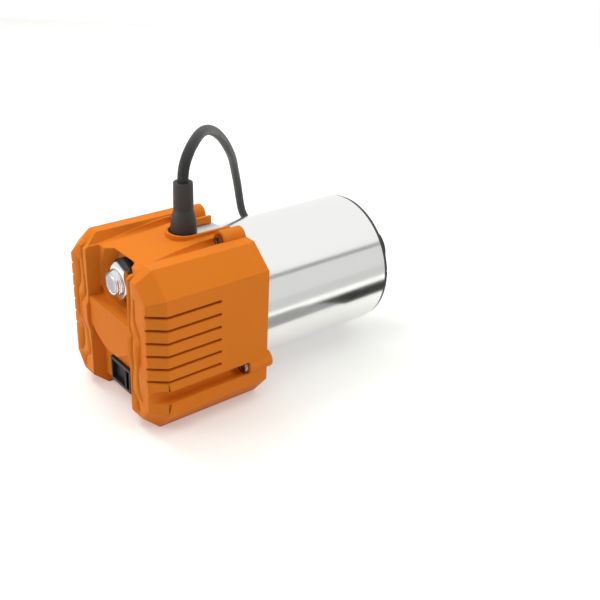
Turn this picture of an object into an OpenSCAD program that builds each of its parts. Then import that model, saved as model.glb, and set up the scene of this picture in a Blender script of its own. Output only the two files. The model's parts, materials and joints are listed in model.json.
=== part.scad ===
// Milling spindle motor with a mains lead, an ER16 collet nose and a moulded rear cover.
// Millimetres, +Z up. The spindle axis lies along X and its nose points to +X.
// The part stands on the cover: the origin is under the middle of the object.
// Inside the modules x = 0 is the front plane of the cover and z = 0 is the spindle axis.

/* [Motor body] */
// Outer diameter of the clamping tube
tube_d = 80; // [78:0.5:82]
// Wall of the tube
tube_wall = 2; // [1.5:0.1:2.5]
// Length of the tube in front of the rear frame
tube_len = 91.5; // [88:0.5:120]
// Part of the rear frame that shows in front of the cover
frame_lip = 2; // [1:0.5:4]
// Thickness of the ring at the front of the tube
ring_t = 2.2; // [1.5:0.1:4]

/* [Rear cover] */
// Length of the cover along the axis
cover_len = 71; // [70:0.5:80]
// Distance of the cover's side faces from the tube
cover_side = 5.5; // [5:0.1:8]
// Distance of the cover's top and underside from the tube
cover_rise = 5.5; // [5:0.1:8]
// Wall of the cover
cover_wall = 2.5; // [2:0.1:3]
// Length of the chamfer round the rear end
rear_cut_len = 8.4; // [6:0.2:10]
// Depth of the chamfer round the rear end
rear_cut_in = 6.8; // [5:0.2:8]
// Width of the recess between the two rear wings
recess_w = 42; // [38:0.5:44]
// Depth of the recess behind the wings
recess_deep = 7.3; // [6:0.1:9]
// Drop of the top plane at the rear, below the wings
top_drop_rear = 5.2; // [3:0.1:6]
// Drop of the top plane at the lead
top_drop_front = 0.7; // [0.4:0.1:2]

/* [Louvres] */
// Louvres in each side
louvre_count = 6; // [3:1:6]
// Distance between louvres
louvre_pitch = 7.4; // [6:0.1:7.5]
// Height of a louvre
louvre_h = 1.4; // [1:0.1:2]
// Length of a louvre from the rear of the cover
louvre_len = 40.7; // [20:0.5:42]

/* [Mains lead] */
// Diameter of the lead
cord_d = 6; // [5.6:0.1:6.2]
// Height of the strain relief above its seat
boot_h = 32; // [28:0.5:40]
// Diameter of the strain relief at its seat
boot_base_d = 14.2; // [13:0.1:15]
// Diameter of the strain relief at its top
boot_top_d = 10.6; // [10:0.1:11.5]
// Distance from the lead to the front plane of the cover
boot_back = 23.4; // [20:0.2:26]

/* [Switch and button] */
// Width of the switch frame
switch_w = 21; // [19:0.5:24]
// Height of the switch frame
switch_h = 15; // [13:0.5:16]
// Swing of the rocker from off to on
switch_swing = 20; // [14:1:24]
// Diameter of the button's threaded barrel
button_d = 14; // [12:0.5:15]
// Width of the button's nut across flats
button_nut_af = 18; // [17:0.5:19]
// Travel of the button
button_travel = 1.6; // [1:0.1:2]

/* [Spindle nose] */
// Diameter of the nose thread
nose_thread_d = 19; // [18.6:0.2:19.6]
// Diameter of the collet at its widest
collet_d = 17; // [16.8:0.1:17.2]
// Length of the collet
collet_len = 27.5; // [26:0.5:29]
// Bore of the collet
collet_bore_d = 6; // [3:0.5:7]
// Diameter of the collet nut
nut_d = 25; // [24:0.5:28]
// Width of the collet nut across flats
nut_af = 22; // [21:0.5:23]
// Length of the collet nut
nut_len = 16; // [15:0.5:18]
// Gap between the nose plate and the nut
neck_len = 12.5; // [11:0.5:16]
// Width across the flats for the spindle wrench
flats_af = 17; // [16:0.5:18]

/* [Motor inside] */
// Depth of the field windings, from the yoke to the poles
field_depth = 8.2; // [7.7:0.1:10]
// Reach of the windings past the cores
winding_len = 9; // [7:0.5:10]
// Slots in the armature
armature_slots = 12; // [8:1:16]
// Diameter of the commutator
commutator_d = 26; // [22:1:28]
// Blades on the fan
fan_blades = 13; // [7:1:17]
// Air gap between the armature and the poles
air_gap = 0.8; // [0.5:0.1:1.2]

/* [Hidden] */
$fn = 64;
run_gap = 0.05;
soft_gap = 0.3;
fit_gap = 0.05;
cut = 1;

tube_r = tube_d / 2;
tube_in_r = tube_r - tube_wall;
tube_x = frame_lip;
tube_end = tube_x + tube_len;
front_x = tube_end + ring_t;
rear_x = -cover_len;
half_w = tube_r + cover_side;
half_h = tube_r + cover_rise;

// Corner cuts of the cover's section: across and up, at the top and at the bottom
top_cut = [13.5, 11.8];
low_cut = [10.5, 12.5];
chamfer_x = rear_x + rear_cut_len;
panel_x = rear_x + recess_deep;

// Rear wings, the raised bump beside the band, and the band between the wings
wing_in = recess_w / 2;
bump_out = 1.4;
bump_wide = 8;
band_in = 0.5;
band_top = 11.5;
band_low = -13.8;
top_foot = wing_in + 0.6;
top_ridge = top_foot + 3.4;

// Pocket round the button
pocket_z = 26.5;
pocket_deep = 6.7;
pocket_low = -14.2;
pocket_x = panel_x + pocket_deep;
barrel_x = rear_x + 3;
barrel_len = 21.3;
cap_r = button_d / 2 - 2.2;
cap_out = 0.4;
button_nut_t = 4;
button_nut_turn = 21;
button_seat = 4;
button_wall = 2;
button_back = 8;
flange_r = 11.9;

// Switch below the band
switch_z = band_low - 16;
switch_t = 2;
switch_back = 15;
rocker_w = switch_w - 4.5;
rocker_h = switch_h - 4.5;
rocker_pivot_x = panel_x + 2.6;
rocker_pin_r = 1;

// Cover screws: [y, z] of the upper and the lower pair
screw_up = [19, half_h - 1.1];
screw_low = [half_w - 3.5, -21.7];
screw_seat_x = -12;
screw_head_r = 3.5;
screw_head_t = 2.6;
screw_r = 2;
hump_r = 5.4;
hump_low_r = 4.9;
hump_low_out = 3;
channel_r = 3.7;
lip_t = 3;
low_channel_r = 3.5;
low_channel_up = 0.3;
ear_x0 = -9.3;
ear_x1 = -3.6;
ear_r = 3.8;

// Rear frame, a little smaller than the tube so that the tube's end shows
frame_r = tube_r - 0.5;
frame_x = -34;
frame_wall = 4;
frame_in_r = tube_in_r - 1.5;
spigot_len = 4;
seat_z = tube_r + 1.5;
seat_half = 14;
hub_r = 17;
hub_back = 8;

// Lead
boot_x = -boot_back;
notch_r = boot_base_d / 2 + 1.3;
rim_t = 1.8;
rim_up = 1.6;
boot_socket = 3;

// Bearings: [bore, outer diameter, width]
rear_brg = [10, 26, 8];
front_brg = [20, 42, 12];
rear_brg_x = frame_x - hub_back;
plate_t = 3;
front_brg_x = front_x - plate_t - 2 * front_brg[2];

// Fan chamber behind the front bearings
fan_t = 7.5;
plate_x = front_brg_x - 0.7;
fan_x = plate_x - 2 - fan_t;
skirt_x = fan_x - 2.5;
fan_r = tube_in_r - 4.5;
skirt_in_r = fan_r + 1.2;

// The cores fill the length between the rear frame and the fan
core_x = tube_x + spigot_len + 2;
core_end = skirt_x + 1 - winding_len;
slot_r = 2.6;
slot_in = 5;
slot_gap = 0.1;
commutator_x = -22;
commutator_len = 13;
shaft_r = 6;
yoke_in_r = tube_in_r - 8;
pole_r = yoke_in_r - field_depth;
armature_r = pole_r - air_gap;
end_turn = [4, 2.4, 3.4, 8];

// Nose
nut_x = front_x + neck_len;
nose_x = nut_x + nut_len;
collet_front = nose_x - 0.4;
collet_cone = 7;
collet_r = collet_d / 2;
taper = tan(8);
collet_back = collet_front - collet_len;
collet_back_r = collet_r - taper * (collet_len - collet_cone);
shaft_face = collet_front - collet_cone + 0.5;
flats_x = nut_x - 9.5;
flats_len = 7;
nut_hex_len = nut_len - 7.5;

// Control board on the back of the rear frame
board_t = 1.6;
board_back = 16.5;
board_x = frame_x - board_back - board_t;
board = [34, 15];
board_post = [28, 10];
board_post_r = 3;
capacitor = [5, 13, 24];
choke = [4, 7, 11, 9];
film_part = [[0, 19, -6], [9, 24.5, 8]];
chip = [[-6, -12, -9], [0, 8, 3]];
diode = [3, 2, 6, 4];
diode_at = [14, -8];

// Brushes: [along the axis, across, length]
brush = [8, 5, 14];
holder_r = 6.2;
brush_x = commutator_x + 6;

// Front plate and its screws, vents round it
neck_r = 11.5;
plate_r = 27;
plate_screw_at = 24;
plate_screw_r = 1.5;
plate_head = [2.75, 2.1];
plate_screw_len = 7;
plate_hex = [2.5, 1.3];
vent_at = 31;
vent_r = 3;
pole_span = 100;

// Lead: a tie holds its coil just off the floor, and the plug lies beside it
tie_t = 1;
coil_turns = 4;
coil_steps = 24;
coil_at = [80, 86];
coil_in_r = 22.6;
coil_pitch = cord_d + 0.6;
coil_z = -half_h + tie_t + 0.2 + cord_d / 2;
coil_edge = coil_at[1] - coil_in_r - coil_pitch * coil_turns;
coil_x0 = coil_at[0] + cord_d;
coil_x1 = coil_at[0] - cord_d;
lie_z = -half_h + cord_d / 2;
plug_h = 26;
plug_y = 66;
plug_z = -half_h + plug_h / 2;
boot_top = seat_z + boot_h;

// The free lead: up out of the strain relief, over in an arch, down to the floor and round
route = [
    [boot_x, 0, boot_top - boot_socket], [boot_x + 0.1, 0, boot_top + 3.5],
    [-21.7, 0.6, 82.8], [-17.2, 3.8, 87.2], [-9.8, 10.2, 89.6], [-0.5, 19, 90],
    [10, 29.5, 87.8], [22.5, 42.5, 82.8], [38, 58.5, 74.5], [55, 76, 63],
    [71, 92.5, 50], [86.5, 109, 35.5], [100.5, 125, 19], [111.5, 136.5, 2],
    [119.5, 144.5, -13.5], [125, 148.5, -26], [132, 151.5, -35], [142, 153, lie_z + 2],
    [155, 153, lie_z], [168, 149, lie_z], [179, 140.5, lie_z], [186, 129, lie_z],
    [188.5, 115, lie_z], [186, 100, lie_z], [179, 85, lie_z], [168, 70, lie_z],
    [153, 57, lie_z], [136, 46.5, lie_z], [118, coil_edge + 3.5, lie_z + 0.5],
    [101, coil_edge + 0.3, coil_z], [coil_x0, coil_edge, coil_z]
];

// From the top of the coil down to the plug
tail = [
    [coil_x1, coil_edge, coil_z + coil_pitch], [62, coil_edge + 0.7, -36.5],
    [47, coil_edge + 2, -40], [32, coil_edge + 4.5, lie_z], [18, 45, -41.5],
    [8, 49.5, -38.5], [2, 55, -34.6], [0, 61, plug_z], [0, plug_y, plug_z]
];

// The origin is under the middle of the object, the cover's underside is the floor
mid_x = (rear_x - bump_out + nose_x) / 2;
axis_z = half_h;

// ---- helpers ----

module on_axis() {
    translate([-mid_x, 0, axis_z]) children();
}

// A cylinder along X from x0 to x1
module rod(r, x0, x1, y = 0, z = 0) {
    translate([x0, y, z]) rotate([0, 90, 0]) cylinder(r = r, h = x1 - x0);
}

// A ring along X
module ring(out_r, in_r, x0, x1, y = 0, z = 0) {
    difference() {
        rod(out_r, x0, x1, y, z);
        rod(in_r, x0 - cut, x1 + cut, y, z);
    }
}

// A turned shape about X from [x, r] points
module turned(points) {
    rotate([0, 90, 0]) rotate_extrude() polygon([for (p = points) [p[1], p[0]]]);
}

// A box from its lowest to its highest corner
module box(low, high) {
    translate(low) cube(high - low);
}

// A [y, z] outline carried along X
module along_x(x0, x1) {
    translate([x0, 0, 0]) rotate([90, 0, 90]) linear_extrude(x1 - x0) children();
}

// An [x, z] outline carried along Y
module along_y(y0, y1) {
    translate([0, y1, 0]) rotate([90, 0, 0]) linear_extrude(y1 - y0) children();
}

module both_sides() {
    children();
    mirror([0, 1, 0]) children();
}

// A regular prism along X, measured across its flats
module flats_rod(across, sides, x0, x1, y = 0, z = 0) {
    r = across / 2 / cos(180 / sides);
    translate([x0, y, z]) rotate([0, 90, 0]) rotate([0, 0, 180 / sides])
        cylinder(r = r, h = x1 - x0, $fn = sides);
}

// ---- rear cover ----

function unit(v) = v / norm(v);

// Half of the cover's section, drawn in by d from every face, from the top to the bottom
function half_section(d) =
    let (
        a = half_w - d, t = half_h - d,
        n1 = unit([top_cut[1], top_cut[0]]), p1 = n1 * [half_w, half_h - top_cut[1]] - d,
        n2 = unit([low_cut[1], low_cut[0]]), p2 = n2 * [half_w, half_h - low_cut[1]] - d
    )
    [
        [(p1 - n1[1] * t) / n1[0], t],
        [a, (p1 - n1[0] * a) / n1[1]],
        [a, -(p2 - n2[0] * a) / n2[1]],
        [(p2 - n2[1] * t) / n2[0], -t]
    ];

function section(d) = concat(
    half_section(d),
    [for (i = [3:-1:0]) [-half_section(d)[i][0], half_section(d)[i][1]]]
);

// The cover's convex body, drawn in by d, up to the given front plane
module cover_body(d, front) {
    hull() {
        along_x(chamfer_x, front) polygon(section(d));
        along_x(rear_x + d, rear_x + d + 0.5) polygon(section(d * 0.6 + rear_cut_in));
    }
}

// Space above the sloping top plane between the wings, lowered by d
module top_dip(d) {
    intersection() {
        along_x(rear_x - cut, 2 * cut) polygon([
            [-top_ridge - d, half_h + cut], [-top_foot - d, half_h - top_drop_rear - d],
            [top_foot + d, half_h - top_drop_rear - d], [top_ridge + d, half_h + cut]
        ]);
        along_y(-half_w, half_w) polygon([
            [rear_x - cut, half_h - top_drop_rear - d], [panel_x, half_h - top_drop_rear - d],
            [boot_x, half_h - top_drop_front - d], [2 * cut, half_h - top_drop_front - d],
            [2 * cut, half_h + 2 * cut], [rear_x - cut, half_h + 2 * cut]
        ]);
    }
}

// Hollow of the cover, which leaves the walls of the recess, the pocket and the tunnels
module cavity() {
    wall_y = wing_in + cover_wall;
    difference() {
        cover_body(cover_wall, -lip_t);
        top_dip(cover_wall);
        box([rear_x, -wall_y, -half_h], [panel_x + cover_wall, wall_y, half_h]);
        box([panel_x, -wing_in, pocket_z - 17], [pocket_x + cover_wall, wing_in, half_h]);
        box([panel_x, -wall_y, -half_h], [panel_x + 10, wall_y, -half_h + 9]);
        screw_tunnels(channel_r + 2, rear_x, ear_x0 - 0.2);
    }
}

// The bumps on the wings beside the band
module bumps() {
    bump = [[rear_x, 9], [rear_x - bump_out, 5.5], [rear_x - bump_out, -4], [rear_x, -11]];
    both_sides() intersection() {
        along_y(wing_in - 0.5, wing_in + bump_wide + 5)
            polygon(concat(bump, [[rear_x + cut, -11], [rear_x + cut, 9]]));
        linear_extrude(3 * half_h, center = true) polygon([
            [rear_x + cut, wing_in - 0.5], [rear_x - bump_out, wing_in - 0.5],
            [rear_x - bump_out, wing_in + bump_wide], [rear_x, wing_in + bump_wide + 3],
            [rear_x + cut, wing_in + bump_wide + 3]
        ]);
    }
}

module recess_cut() {
    difference() {
        linear_extrude(3 * half_h, center = true) polygon([
            [rear_x - 4, wing_in + 0.8], [panel_x, wing_in - 1.4],
            [panel_x, -wing_in + 1.4], [rear_x - 4, -wing_in - 0.8]
        ]);
        along_y(-half_w, half_w) polygon([
            [rear_x - 6, band_low - 0.01], [panel_x + cut, band_low - 0.01],
            [panel_x + cut, pocket_z + pocket_low - 0.01], [panel_x - 2, band_top + 0.01],
            [rear_x - 6, band_top + 0.01]
        ]);
    }
    // Below the band's slanting ends
    both_sides() along_x(rear_x - 4, panel_x) polygon([
        [6, band_low - 0.02], [16, -8.6], [wing_in - 0.5, -4.3], [wing_in - 0.5, band_low - 0.02]
    ]);
    // The band's face lies a little behind the bumps
    along_x(rear_x - 4, rear_x + band_in) polygon([
        [-wing_in - 0.2, band_top + 1], [wing_in + 0.2, band_top + 1],
        [wing_in + 0.2, band_low - 1], [-wing_in - 0.2, band_low - 1]
    ]);
    // The lower edge of the panel slopes forward to the underside
    along_y(-wing_in + 1.4, wing_in - 1.4) polygon([
        [panel_x - cut, -half_h + 7 + cut], [panel_x - cut, -half_h - cut],
        [panel_x + 7 + cut, -half_h - cut]
    ]);
}

module pocket_cut() {
    outline = [
        [-10.5, pocket_low], [10.5, pocket_low], [19.5, -10.5], [19.5, 1.5], [12.5, 13.5], [12.5, 17],
        [-12.5, 17], [-12.5, 13.5], [-19.5, 1.5], [-19.5, -10.5]
    ];
    floor_outline = [
        [-9, -12.7], [9, -12.7], [15, -8.6], [15, 1.2], [9, 9.8], [9, 12.2],
        [-9, 12.2], [-9, 9.8], [-15, 1.2], [-15, -8.6]
    ];
    hull() {
        translate([0, 0, pocket_z]) along_x(panel_x - 0.02, panel_x) polygon(outline);
        translate([0, 0, pocket_z]) along_x(pocket_x - 0.01, pocket_x) polygon(floor_outline);
    }
}

// Tunnels for the screwdriver, with their walls inside the cover
module screw_tunnels(r, x0, x1) {
    both_sides() {
        rod(r, x0, x1, screw_up[0], screw_up[1]);
        rod(r, x0, x1, screw_low[0], screw_low[1]);
    }
}

module humps(grow, x0, up_x1, low_x1) {
    both_sides() {
        rod(hump_r + grow, x0, up_x1, screw_up[0], screw_up[1]);
        rod(hump_low_r + grow, x0, low_x1, screw_low[0], screw_low[1]);
    }
}

// Open channel in the side with a round floor, which runs out in the rear chamfer
module low_channel() {
    y = screw_low[0] + low_channel_up;
    rod(low_channel_r, rear_x - 4, screw_seat_x, y, screw_low[1]);
    box([rear_x - 4, y, screw_low[1] - low_channel_r], [screw_seat_x, half_w + 3, screw_low[1] + low_channel_r]);
}

module louvres() {
    both_sides() for (i = [0:louvre_count - 1]) {
        z = 24.7 - i * louvre_pitch;
        box([rear_x - cut, half_w - rear_cut_in - 1, z - louvre_h / 2],
            [rear_x + louvre_len, half_w + cut, z + louvre_h / 2]);
    }
}

module lead_notch(r, z0, z1) {
    translate([boot_x, 0, z0]) cylinder(r = r, h = z1 - z0);
    box([boot_x, -r + 0.2, z0], [cut, r - 0.2, z1]);
}

module rear_cover() {
    rim_z = half_h - top_drop_front + rim_up;
    color([0.85, 0.45, 0.12]) on_axis() difference() {
        union() {
            difference() {
                cover_body(0, 0);
                top_dip(0);
            }
            bumps();
            humps(0, screw_seat_x - 1.5, 0, hump_low_out);
            lead_notch(notch_r + rim_t, seat_z + soft_gap, rim_z);
        }
        cavity();
        recess_cut();
        pocket_cut();
        screw_tunnels(channel_r, screw_seat_x - 8, screw_seat_x);
        both_sides() {
            rod(channel_r, rear_x - 4, screw_seat_x - 7, screw_up[0], screw_up[1]);
            low_channel();
        }
        screw_tunnels(screw_r + 0.3, screw_seat_x - cut, ear_x0);
        screw_tunnels(ear_r + 0.5, ear_x0 - soft_gap, ear_x1 + soft_gap);
        both_sides() ear_webs(soft_gap);
        louvres();
        lead_notch(notch_r, 0, half_h * 2);
        rod(tube_r + 0.6, frame_x - cut, hump_low_out + cut);
        box([frame_x - 0.5, -seat_half - soft_gap, 0], [cut, seat_half + soft_gap, seat_z + soft_gap]);
        rod(button_d / 2 + 2.2, panel_x, pocket_x + 3 * cut + cover_wall, 0, pocket_z);
        box([panel_x - cut, -switch_w / 2 + 1, switch_z - switch_h / 2 + 1],
            [panel_x + 12, switch_w / 2 - 1, switch_z + switch_h / 2 - 1]);
        // The rim of the notch ends at the front plane
        box([0, -notch_r - 4, seat_z], [3 * cut, notch_r + 4, half_h * 2]);
    }
}

module cover_screw(y, z) {
    difference() {
        union() {
            rod(screw_head_r, screw_seat_x - screw_head_t, screw_seat_x, y, z);
            rod(screw_r, screw_seat_x, ear_x1, y, z);
        }
        flats_rod(3, 6, screw_seat_x - screw_head_t - cut, screw_seat_x - 0.8, y, z);
    }
}

module cover_screws() {
    color([0.75, 0.72, 0.7]) on_axis() both_sides() {
        cover_screw(screw_up[0], screw_up[1]);
        cover_screw(screw_low[0], screw_low[1]);
    }
}

// ---- button and switch ----

// Switch body: the black flange the nut is tightened on, and the body behind the wall
module button_body() {
    back_x = barrel_x + barrel_len;
    color([0.05, 0.05, 0.06]) on_axis() translate([0, 0, pocket_z]) difference() {
        union() {
            rod(flange_r, pocket_x - button_seat, pocket_x);
            rod(button_d / 2 + button_wall, pocket_x, back_x + button_back);
        }
        rod(button_d / 2 + fit_gap, pocket_x - button_seat - cut, back_x + fit_gap);
    }
}

module button_barrel() {
    thread_r = button_d / 2;
    color([0.8, 0.8, 0.82]) on_axis() translate([0, 0, pocket_z]) difference() {
        turned([
            [barrel_x, 0], [barrel_x, thread_r - 0.8], [barrel_x + 0.6, thread_r],
            [barrel_x + barrel_len, thread_r], [barrel_x + barrel_len, 0]
        ]);
        rod(cap_r + run_gap, barrel_x - cut, barrel_x + 8);
    }
}

module button_nut() {
    x1 = pocket_x - button_seat;
    x0 = x1 - button_nut_t;
    r = button_nut_af / 2;
    color([0.82, 0.82, 0.84]) on_axis() translate([0, 0, pocket_z]) difference() {
        intersection() {
            rotate([-button_nut_turn, 0, 0]) translate([x0, 0, 0]) rotate([0, 90, 0])
                cylinder(r = r / cos(30), h = button_nut_t, $fn = 6);
            turned([[x0, 0], [x0, r - 0.2], [x0 + 1, r + 1.8], [x1, r + 1.8], [x1, 0]]);
        }
        rod(button_d / 2 + fit_gap, x0 - cut, x1 + cut);
    }
}

module button_cap() {
    color([0.85, 0.85, 0.87]) on_axis() translate([0, 0, pocket_z]) turned([
        [barrel_x - cap_out, 0], [barrel_x - cap_out, cap_r - 0.5], [barrel_x - cap_out + 0.5, cap_r],
        [barrel_x + 5, cap_r], [barrel_x + 5, 0]
    ]);
}

// Rocker outline in the plane it swings in, flat back, two sloping faces in front
module rocker_outline(grow) {
    h = rocker_w / 2 + grow;
    polygon([
        [rocker_pivot_x + 2.5, -h + 3], [rocker_pivot_x - 4 - grow, -h],
        [rocker_pivot_x - 2.6 - grow, 0], [rocker_pivot_x - 4 - grow, h],
        [rocker_pivot_x + 2.5, h - 3]
    ]);
}

module switch_frame() {
    in_w = rocker_w / 2 + 0.8;
    in_h = rocker_h / 2 + 0.3;
    color([0.42, 0.42, 0.43]) on_axis() translate([0, 0, switch_z]) difference() {
        union() {
            box([panel_x - switch_t, -switch_w / 2, -switch_h / 2], [panel_x, switch_w / 2, switch_h / 2]);
            box([panel_x, -switch_w / 2 + 1.2, -switch_h / 2 + 1.2],
                [panel_x + switch_back, switch_w / 2 - 1.2, switch_h / 2 - 1.2]);
        }
        box([panel_x - switch_t - cut, -in_w, -in_h], [panel_x + 8, in_w, in_h]);
        translate([rocker_pivot_x, 0, -switch_h]) cylinder(r = rocker_pin_r + 0.1, h = 2 * switch_h);
    }
}

module switch_rocker() {
    pin = switch_h / 2 - 1.3;
    color([0.06, 0.06, 0.07]) on_axis() translate([rocker_pivot_x, 0, switch_z]) {
        rotate([0, 0, -switch_swing / 2]) translate([-rocker_pivot_x, 0, -rocker_h / 2])
            linear_extrude(rocker_h) rocker_outline(0);
        translate([0, 0, -pin]) cylinder(r = rocker_pin_r, h = 2 * pin);
    }
}

// ---- lead ----

module cable_boot() {
    base_r = boot_base_d / 2;
    top_r = boot_top_d / 2;
    color([0.13, 0.13, 0.14]) on_axis() translate([boot_x, 0, seat_z]) rotate_extrude() polygon([
        [0, 0], [base_r, 0], [base_r, boot_h * 0.3], [base_r - 0.3, boot_h * 0.36],
        [top_r + 0.35, boot_h * 0.5], [top_r + 0.1, boot_h * 0.53], [top_r, boot_h],
        [cord_d / 2 + run_gap, boot_h], [cord_d / 2 + run_gap, boot_h - boot_socket],
        [0, boot_h - boot_socket]
    ]);
}

// ---- rear frame ----

// Webs that carry the threaded ears of the cover screws, grown by g for their room
module ear_webs(g) {
    w = ear_r - 0.3 + g;
    box([ear_x0 - g, screw_up[0] - w, tube_r - 10], [ear_x1 + g, screw_up[0] + w, screw_up[1]]);
    box([ear_x0 - g, tube_r - 12, screw_low[1] - w], [ear_x1 + g, screw_low[0], screw_low[1] + w]);
}

module rear_frame() {
    window_r = 26;
    color([0.62, 0.66, 0.7]) on_axis() difference() {
        union() {
            rod(frame_r, frame_x, tube_x);
            rod(tube_in_r - fit_gap, tube_x, tube_x + spigot_len);
            box([frame_x + 1, -seat_half, 0], [tube_x, seat_half, seat_z]);
            rod(hub_r, rear_brg_x, frame_x);
            both_sides() {
                rod(ear_r, ear_x0, ear_x1, screw_up[0], screw_up[1]);
                rod(ear_r, ear_x0, ear_x1, screw_low[0], screw_low[1]);
                ear_webs(0);
            }
            for (y = [-1, 1], z = [-1, 1])
                rod(board_post_r, board_x + board_t, frame_x, y * board_post[0], z * board_post[1]);
        }
        rod(frame_in_r, frame_x + frame_wall, tube_x + spigot_len + cut);
        rod(rear_brg[1] / 2 + 0.01, rear_brg_x - cut, frame_x);
        rod(rear_brg[0] / 2 + 4, frame_x - cut, frame_x + frame_wall + cut);
        both_sides() {
            rod(screw_r + fit_gap, ear_x0 - cut, ear_x1 + cut, screw_up[0], screw_up[1]);
            rod(screw_r + fit_gap, ear_x0 - cut, ear_x1 + cut, screw_low[0], screw_low[1]);
            translate([brush_x, 0, 0]) rotate([-90, 0, 0]) cylinder(r = holder_r + fit_gap, h = tube_r + cut);
        }
        for (a = [45, 90, 135, 225, 270, 315])
            rod(5, frame_x - cut, frame_x + frame_wall + cut, window_r * cos(a), window_r * sin(a));
        translate([boot_x, 0, 0]) cylinder(r = cord_d / 2 + 0.4, h = seat_z + cut);
    }
}

module control_board() {
    color([0.1, 0.35, 0.2]) on_axis() difference() {
        box([board_x, -board[0], -board[1]], [board_x + board_t, board[0], board[1]]);
        for (y = [-1, 1], z = [-1, 1])
            rod(1.6, board_x - cut, board_x + board_t + cut, y * board_post[0], z * board_post[1]);
    }
}

module board_parts() {
    front = board_x + board_t;
    color([0.15, 0.15, 0.3]) on_axis() {
        rod(capacitor[0], front, front + capacitor[1], -capacitor[2], 0);
        rod(choke[0], front, front + choke[1], choke[2], -choke[3]);
        box([front, 0, 0] + film_part[0], [front, 0, 0] + film_part[1]);
        box([board_x, 0, 0] + chip[0], [board_x, 0, 0] + chip[1]);
        for (i = [0:3]) box(
            [board_x - diode[0], diode_at[0] + i * diode[3], diode_at[1]],
            [board_x, diode_at[0] + diode[1] + i * diode[3], diode_at[1] + diode[2]]
        );
    }
}

// ---- brushes ----

module brush_holder() {
    color([0.25, 0.22, 0.2]) on_axis() difference() {
        translate([brush_x, 0, 0]) rotate([-90, 0, 0]) {
            translate([0, 0, commutator_d / 2 + 2.5])
                cylinder(r = holder_r, h = frame_r - 2 - commutator_d / 2 - 2.5);
            translate([0, 0, frame_r - 2]) cylinder(r = holder_r - 0.6, h = 2);
        }
        box([brush_x - brush[0] / 2 - 0.1, 0, -brush[1] / 2 - 0.1],
            [brush_x + brush[0] / 2 + 0.1, frame_r - 3, brush[1] / 2 + 0.1]);
    }
}

module brush_block() {
    y0 = commutator_d / 2 + soft_gap;
    color([0.2, 0.2, 0.2]) on_axis() {
        box([brush_x - brush[0] / 2, y0, -brush[1] / 2], [brush_x + brush[0] / 2, y0 + brush[2], brush[1] / 2]);
        translate([brush_x, y0 + brush[2], 0]) rotate([-90, 0, 0])
            cylinder(r = 1.7, h = frame_r - 3 - y0 - brush[2]);
    }
}

module brush_holder_far() { brush_holder(); }
module brush_holder_near() { mirror([0, 1, 0]) brush_holder(); }
module brush_far() { brush_block(); }
module brush_near() { mirror([0, 1, 0]) brush_block(); }

// ---- body tube and front ----

// Countersunk heads of the screws in the tube: radius, height, and how far they lie under the surface
tube_head = [2.4, 1];
tube_head_sunk = 0.15;

// Places of the screws in the tube: [x, angle from the top]
function tube_screw_places() = [
    for (a = [45, 315]) [tube_x + tube_len * 0.645, a],
    for (a = [135, 225]) [tube_x + tube_len * 0.765, a]
];

module radial(x, angle) {
    translate([x, 0, 0]) rotate([angle, 0, 0]) children();
}

module body_tube() {
    color([0.8, 0.8, 0.82]) on_axis() difference() {
        rod(tube_r, tube_x, tube_end);
        rod(tube_in_r, tube_x - cut, tube_end + cut);
        for (p = tube_screw_places()) radial(p[0], p[1]) {
            cylinder(r = 1.6, h = tube_r);
            translate([0, 0, tube_r - tube_head[1] - tube_head_sunk])
                cylinder(r1 = 1.6, r2 = tube_head[0] + 0.7, h = tube_head[1] + tube_head_sunk + 0.3);
        }
    }
}

module front_ring() {
    color([0.08, 0.08, 0.09]) on_axis() difference() {
        ring(frame_r, tube_in_r - 2, tube_end, front_x);
        box([tube_end - cut, -tube_r - cut, 3], [front_x + cut, -tube_r + 1.2, 6]);
    }
}

module tube_screws() {
    color([0.3, 0.3, 0.32]) on_axis() for (p = tube_screw_places()) radial(p[0], p[1]) difference() {
        union() {
            translate([0, 0, skirt_in_r + 0.2]) cylinder(r = 1.5, h = tube_r - skirt_in_r - 0.8);
            translate([0, 0, tube_r - tube_head[1] - tube_head_sunk])
                cylinder(r1 = 1.5, r2 = tube_head[0], h = tube_head[1]);
        }
        translate([0, 0, tube_r - 1.1]) rotate([0, 0, 30]) cylinder(r = 1.1, h = 3, $fn = 6);
    }
}

module front_housing() {
    out_r = tube_in_r - fit_gap;
    bore_r = front_brg[1] / 2 + 0.01;
    color([0.6, 0.62, 0.64]) on_axis() difference() {
        turned([
            [skirt_x, skirt_in_r], [skirt_x, out_r], [tube_end, out_r], [tube_end, tube_in_r - 2 - fit_gap],
            [front_x, tube_in_r - 2 - fit_gap], [front_x, plate_r + fit_gap], [front_x - plate_t, plate_r + fit_gap],
            [front_x - plate_t, bore_r], [front_brg_x, bore_r], [front_brg_x, bore_r - 4],
            [plate_x, bore_r - 4], [plate_x, skirt_in_r]
        ]);
        for (a = [0:30:330]) radial(0, a) rod(vent_r, plate_x - cut, front_x + cut, 0, vent_at);
        for (a = [45:90:315]) radial(0, a)
            rod(plate_screw_r + fit_gap, front_x - plate_t - 8, front_x, 0, plate_screw_at);
        for (p = tube_screw_places()) radial(p[0], p[1]) cylinder(r = 1.5 + fit_gap, h = tube_r);
    }
}

module nose_plate() {
    color([0.55, 0.56, 0.58]) on_axis() difference() {
        ring(plate_r, neck_r + 2, front_x - plate_t, front_x);
        for (a = [45:90:315]) radial(0, a) {
            rod(plate_screw_r + 0.2, front_x - plate_t - cut, front_x + cut, 0, plate_screw_at);
            rod(plate_head[0] + 0.15, front_x - plate_head[1], front_x + cut, 0, plate_screw_at);
        }
    }
}

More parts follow.
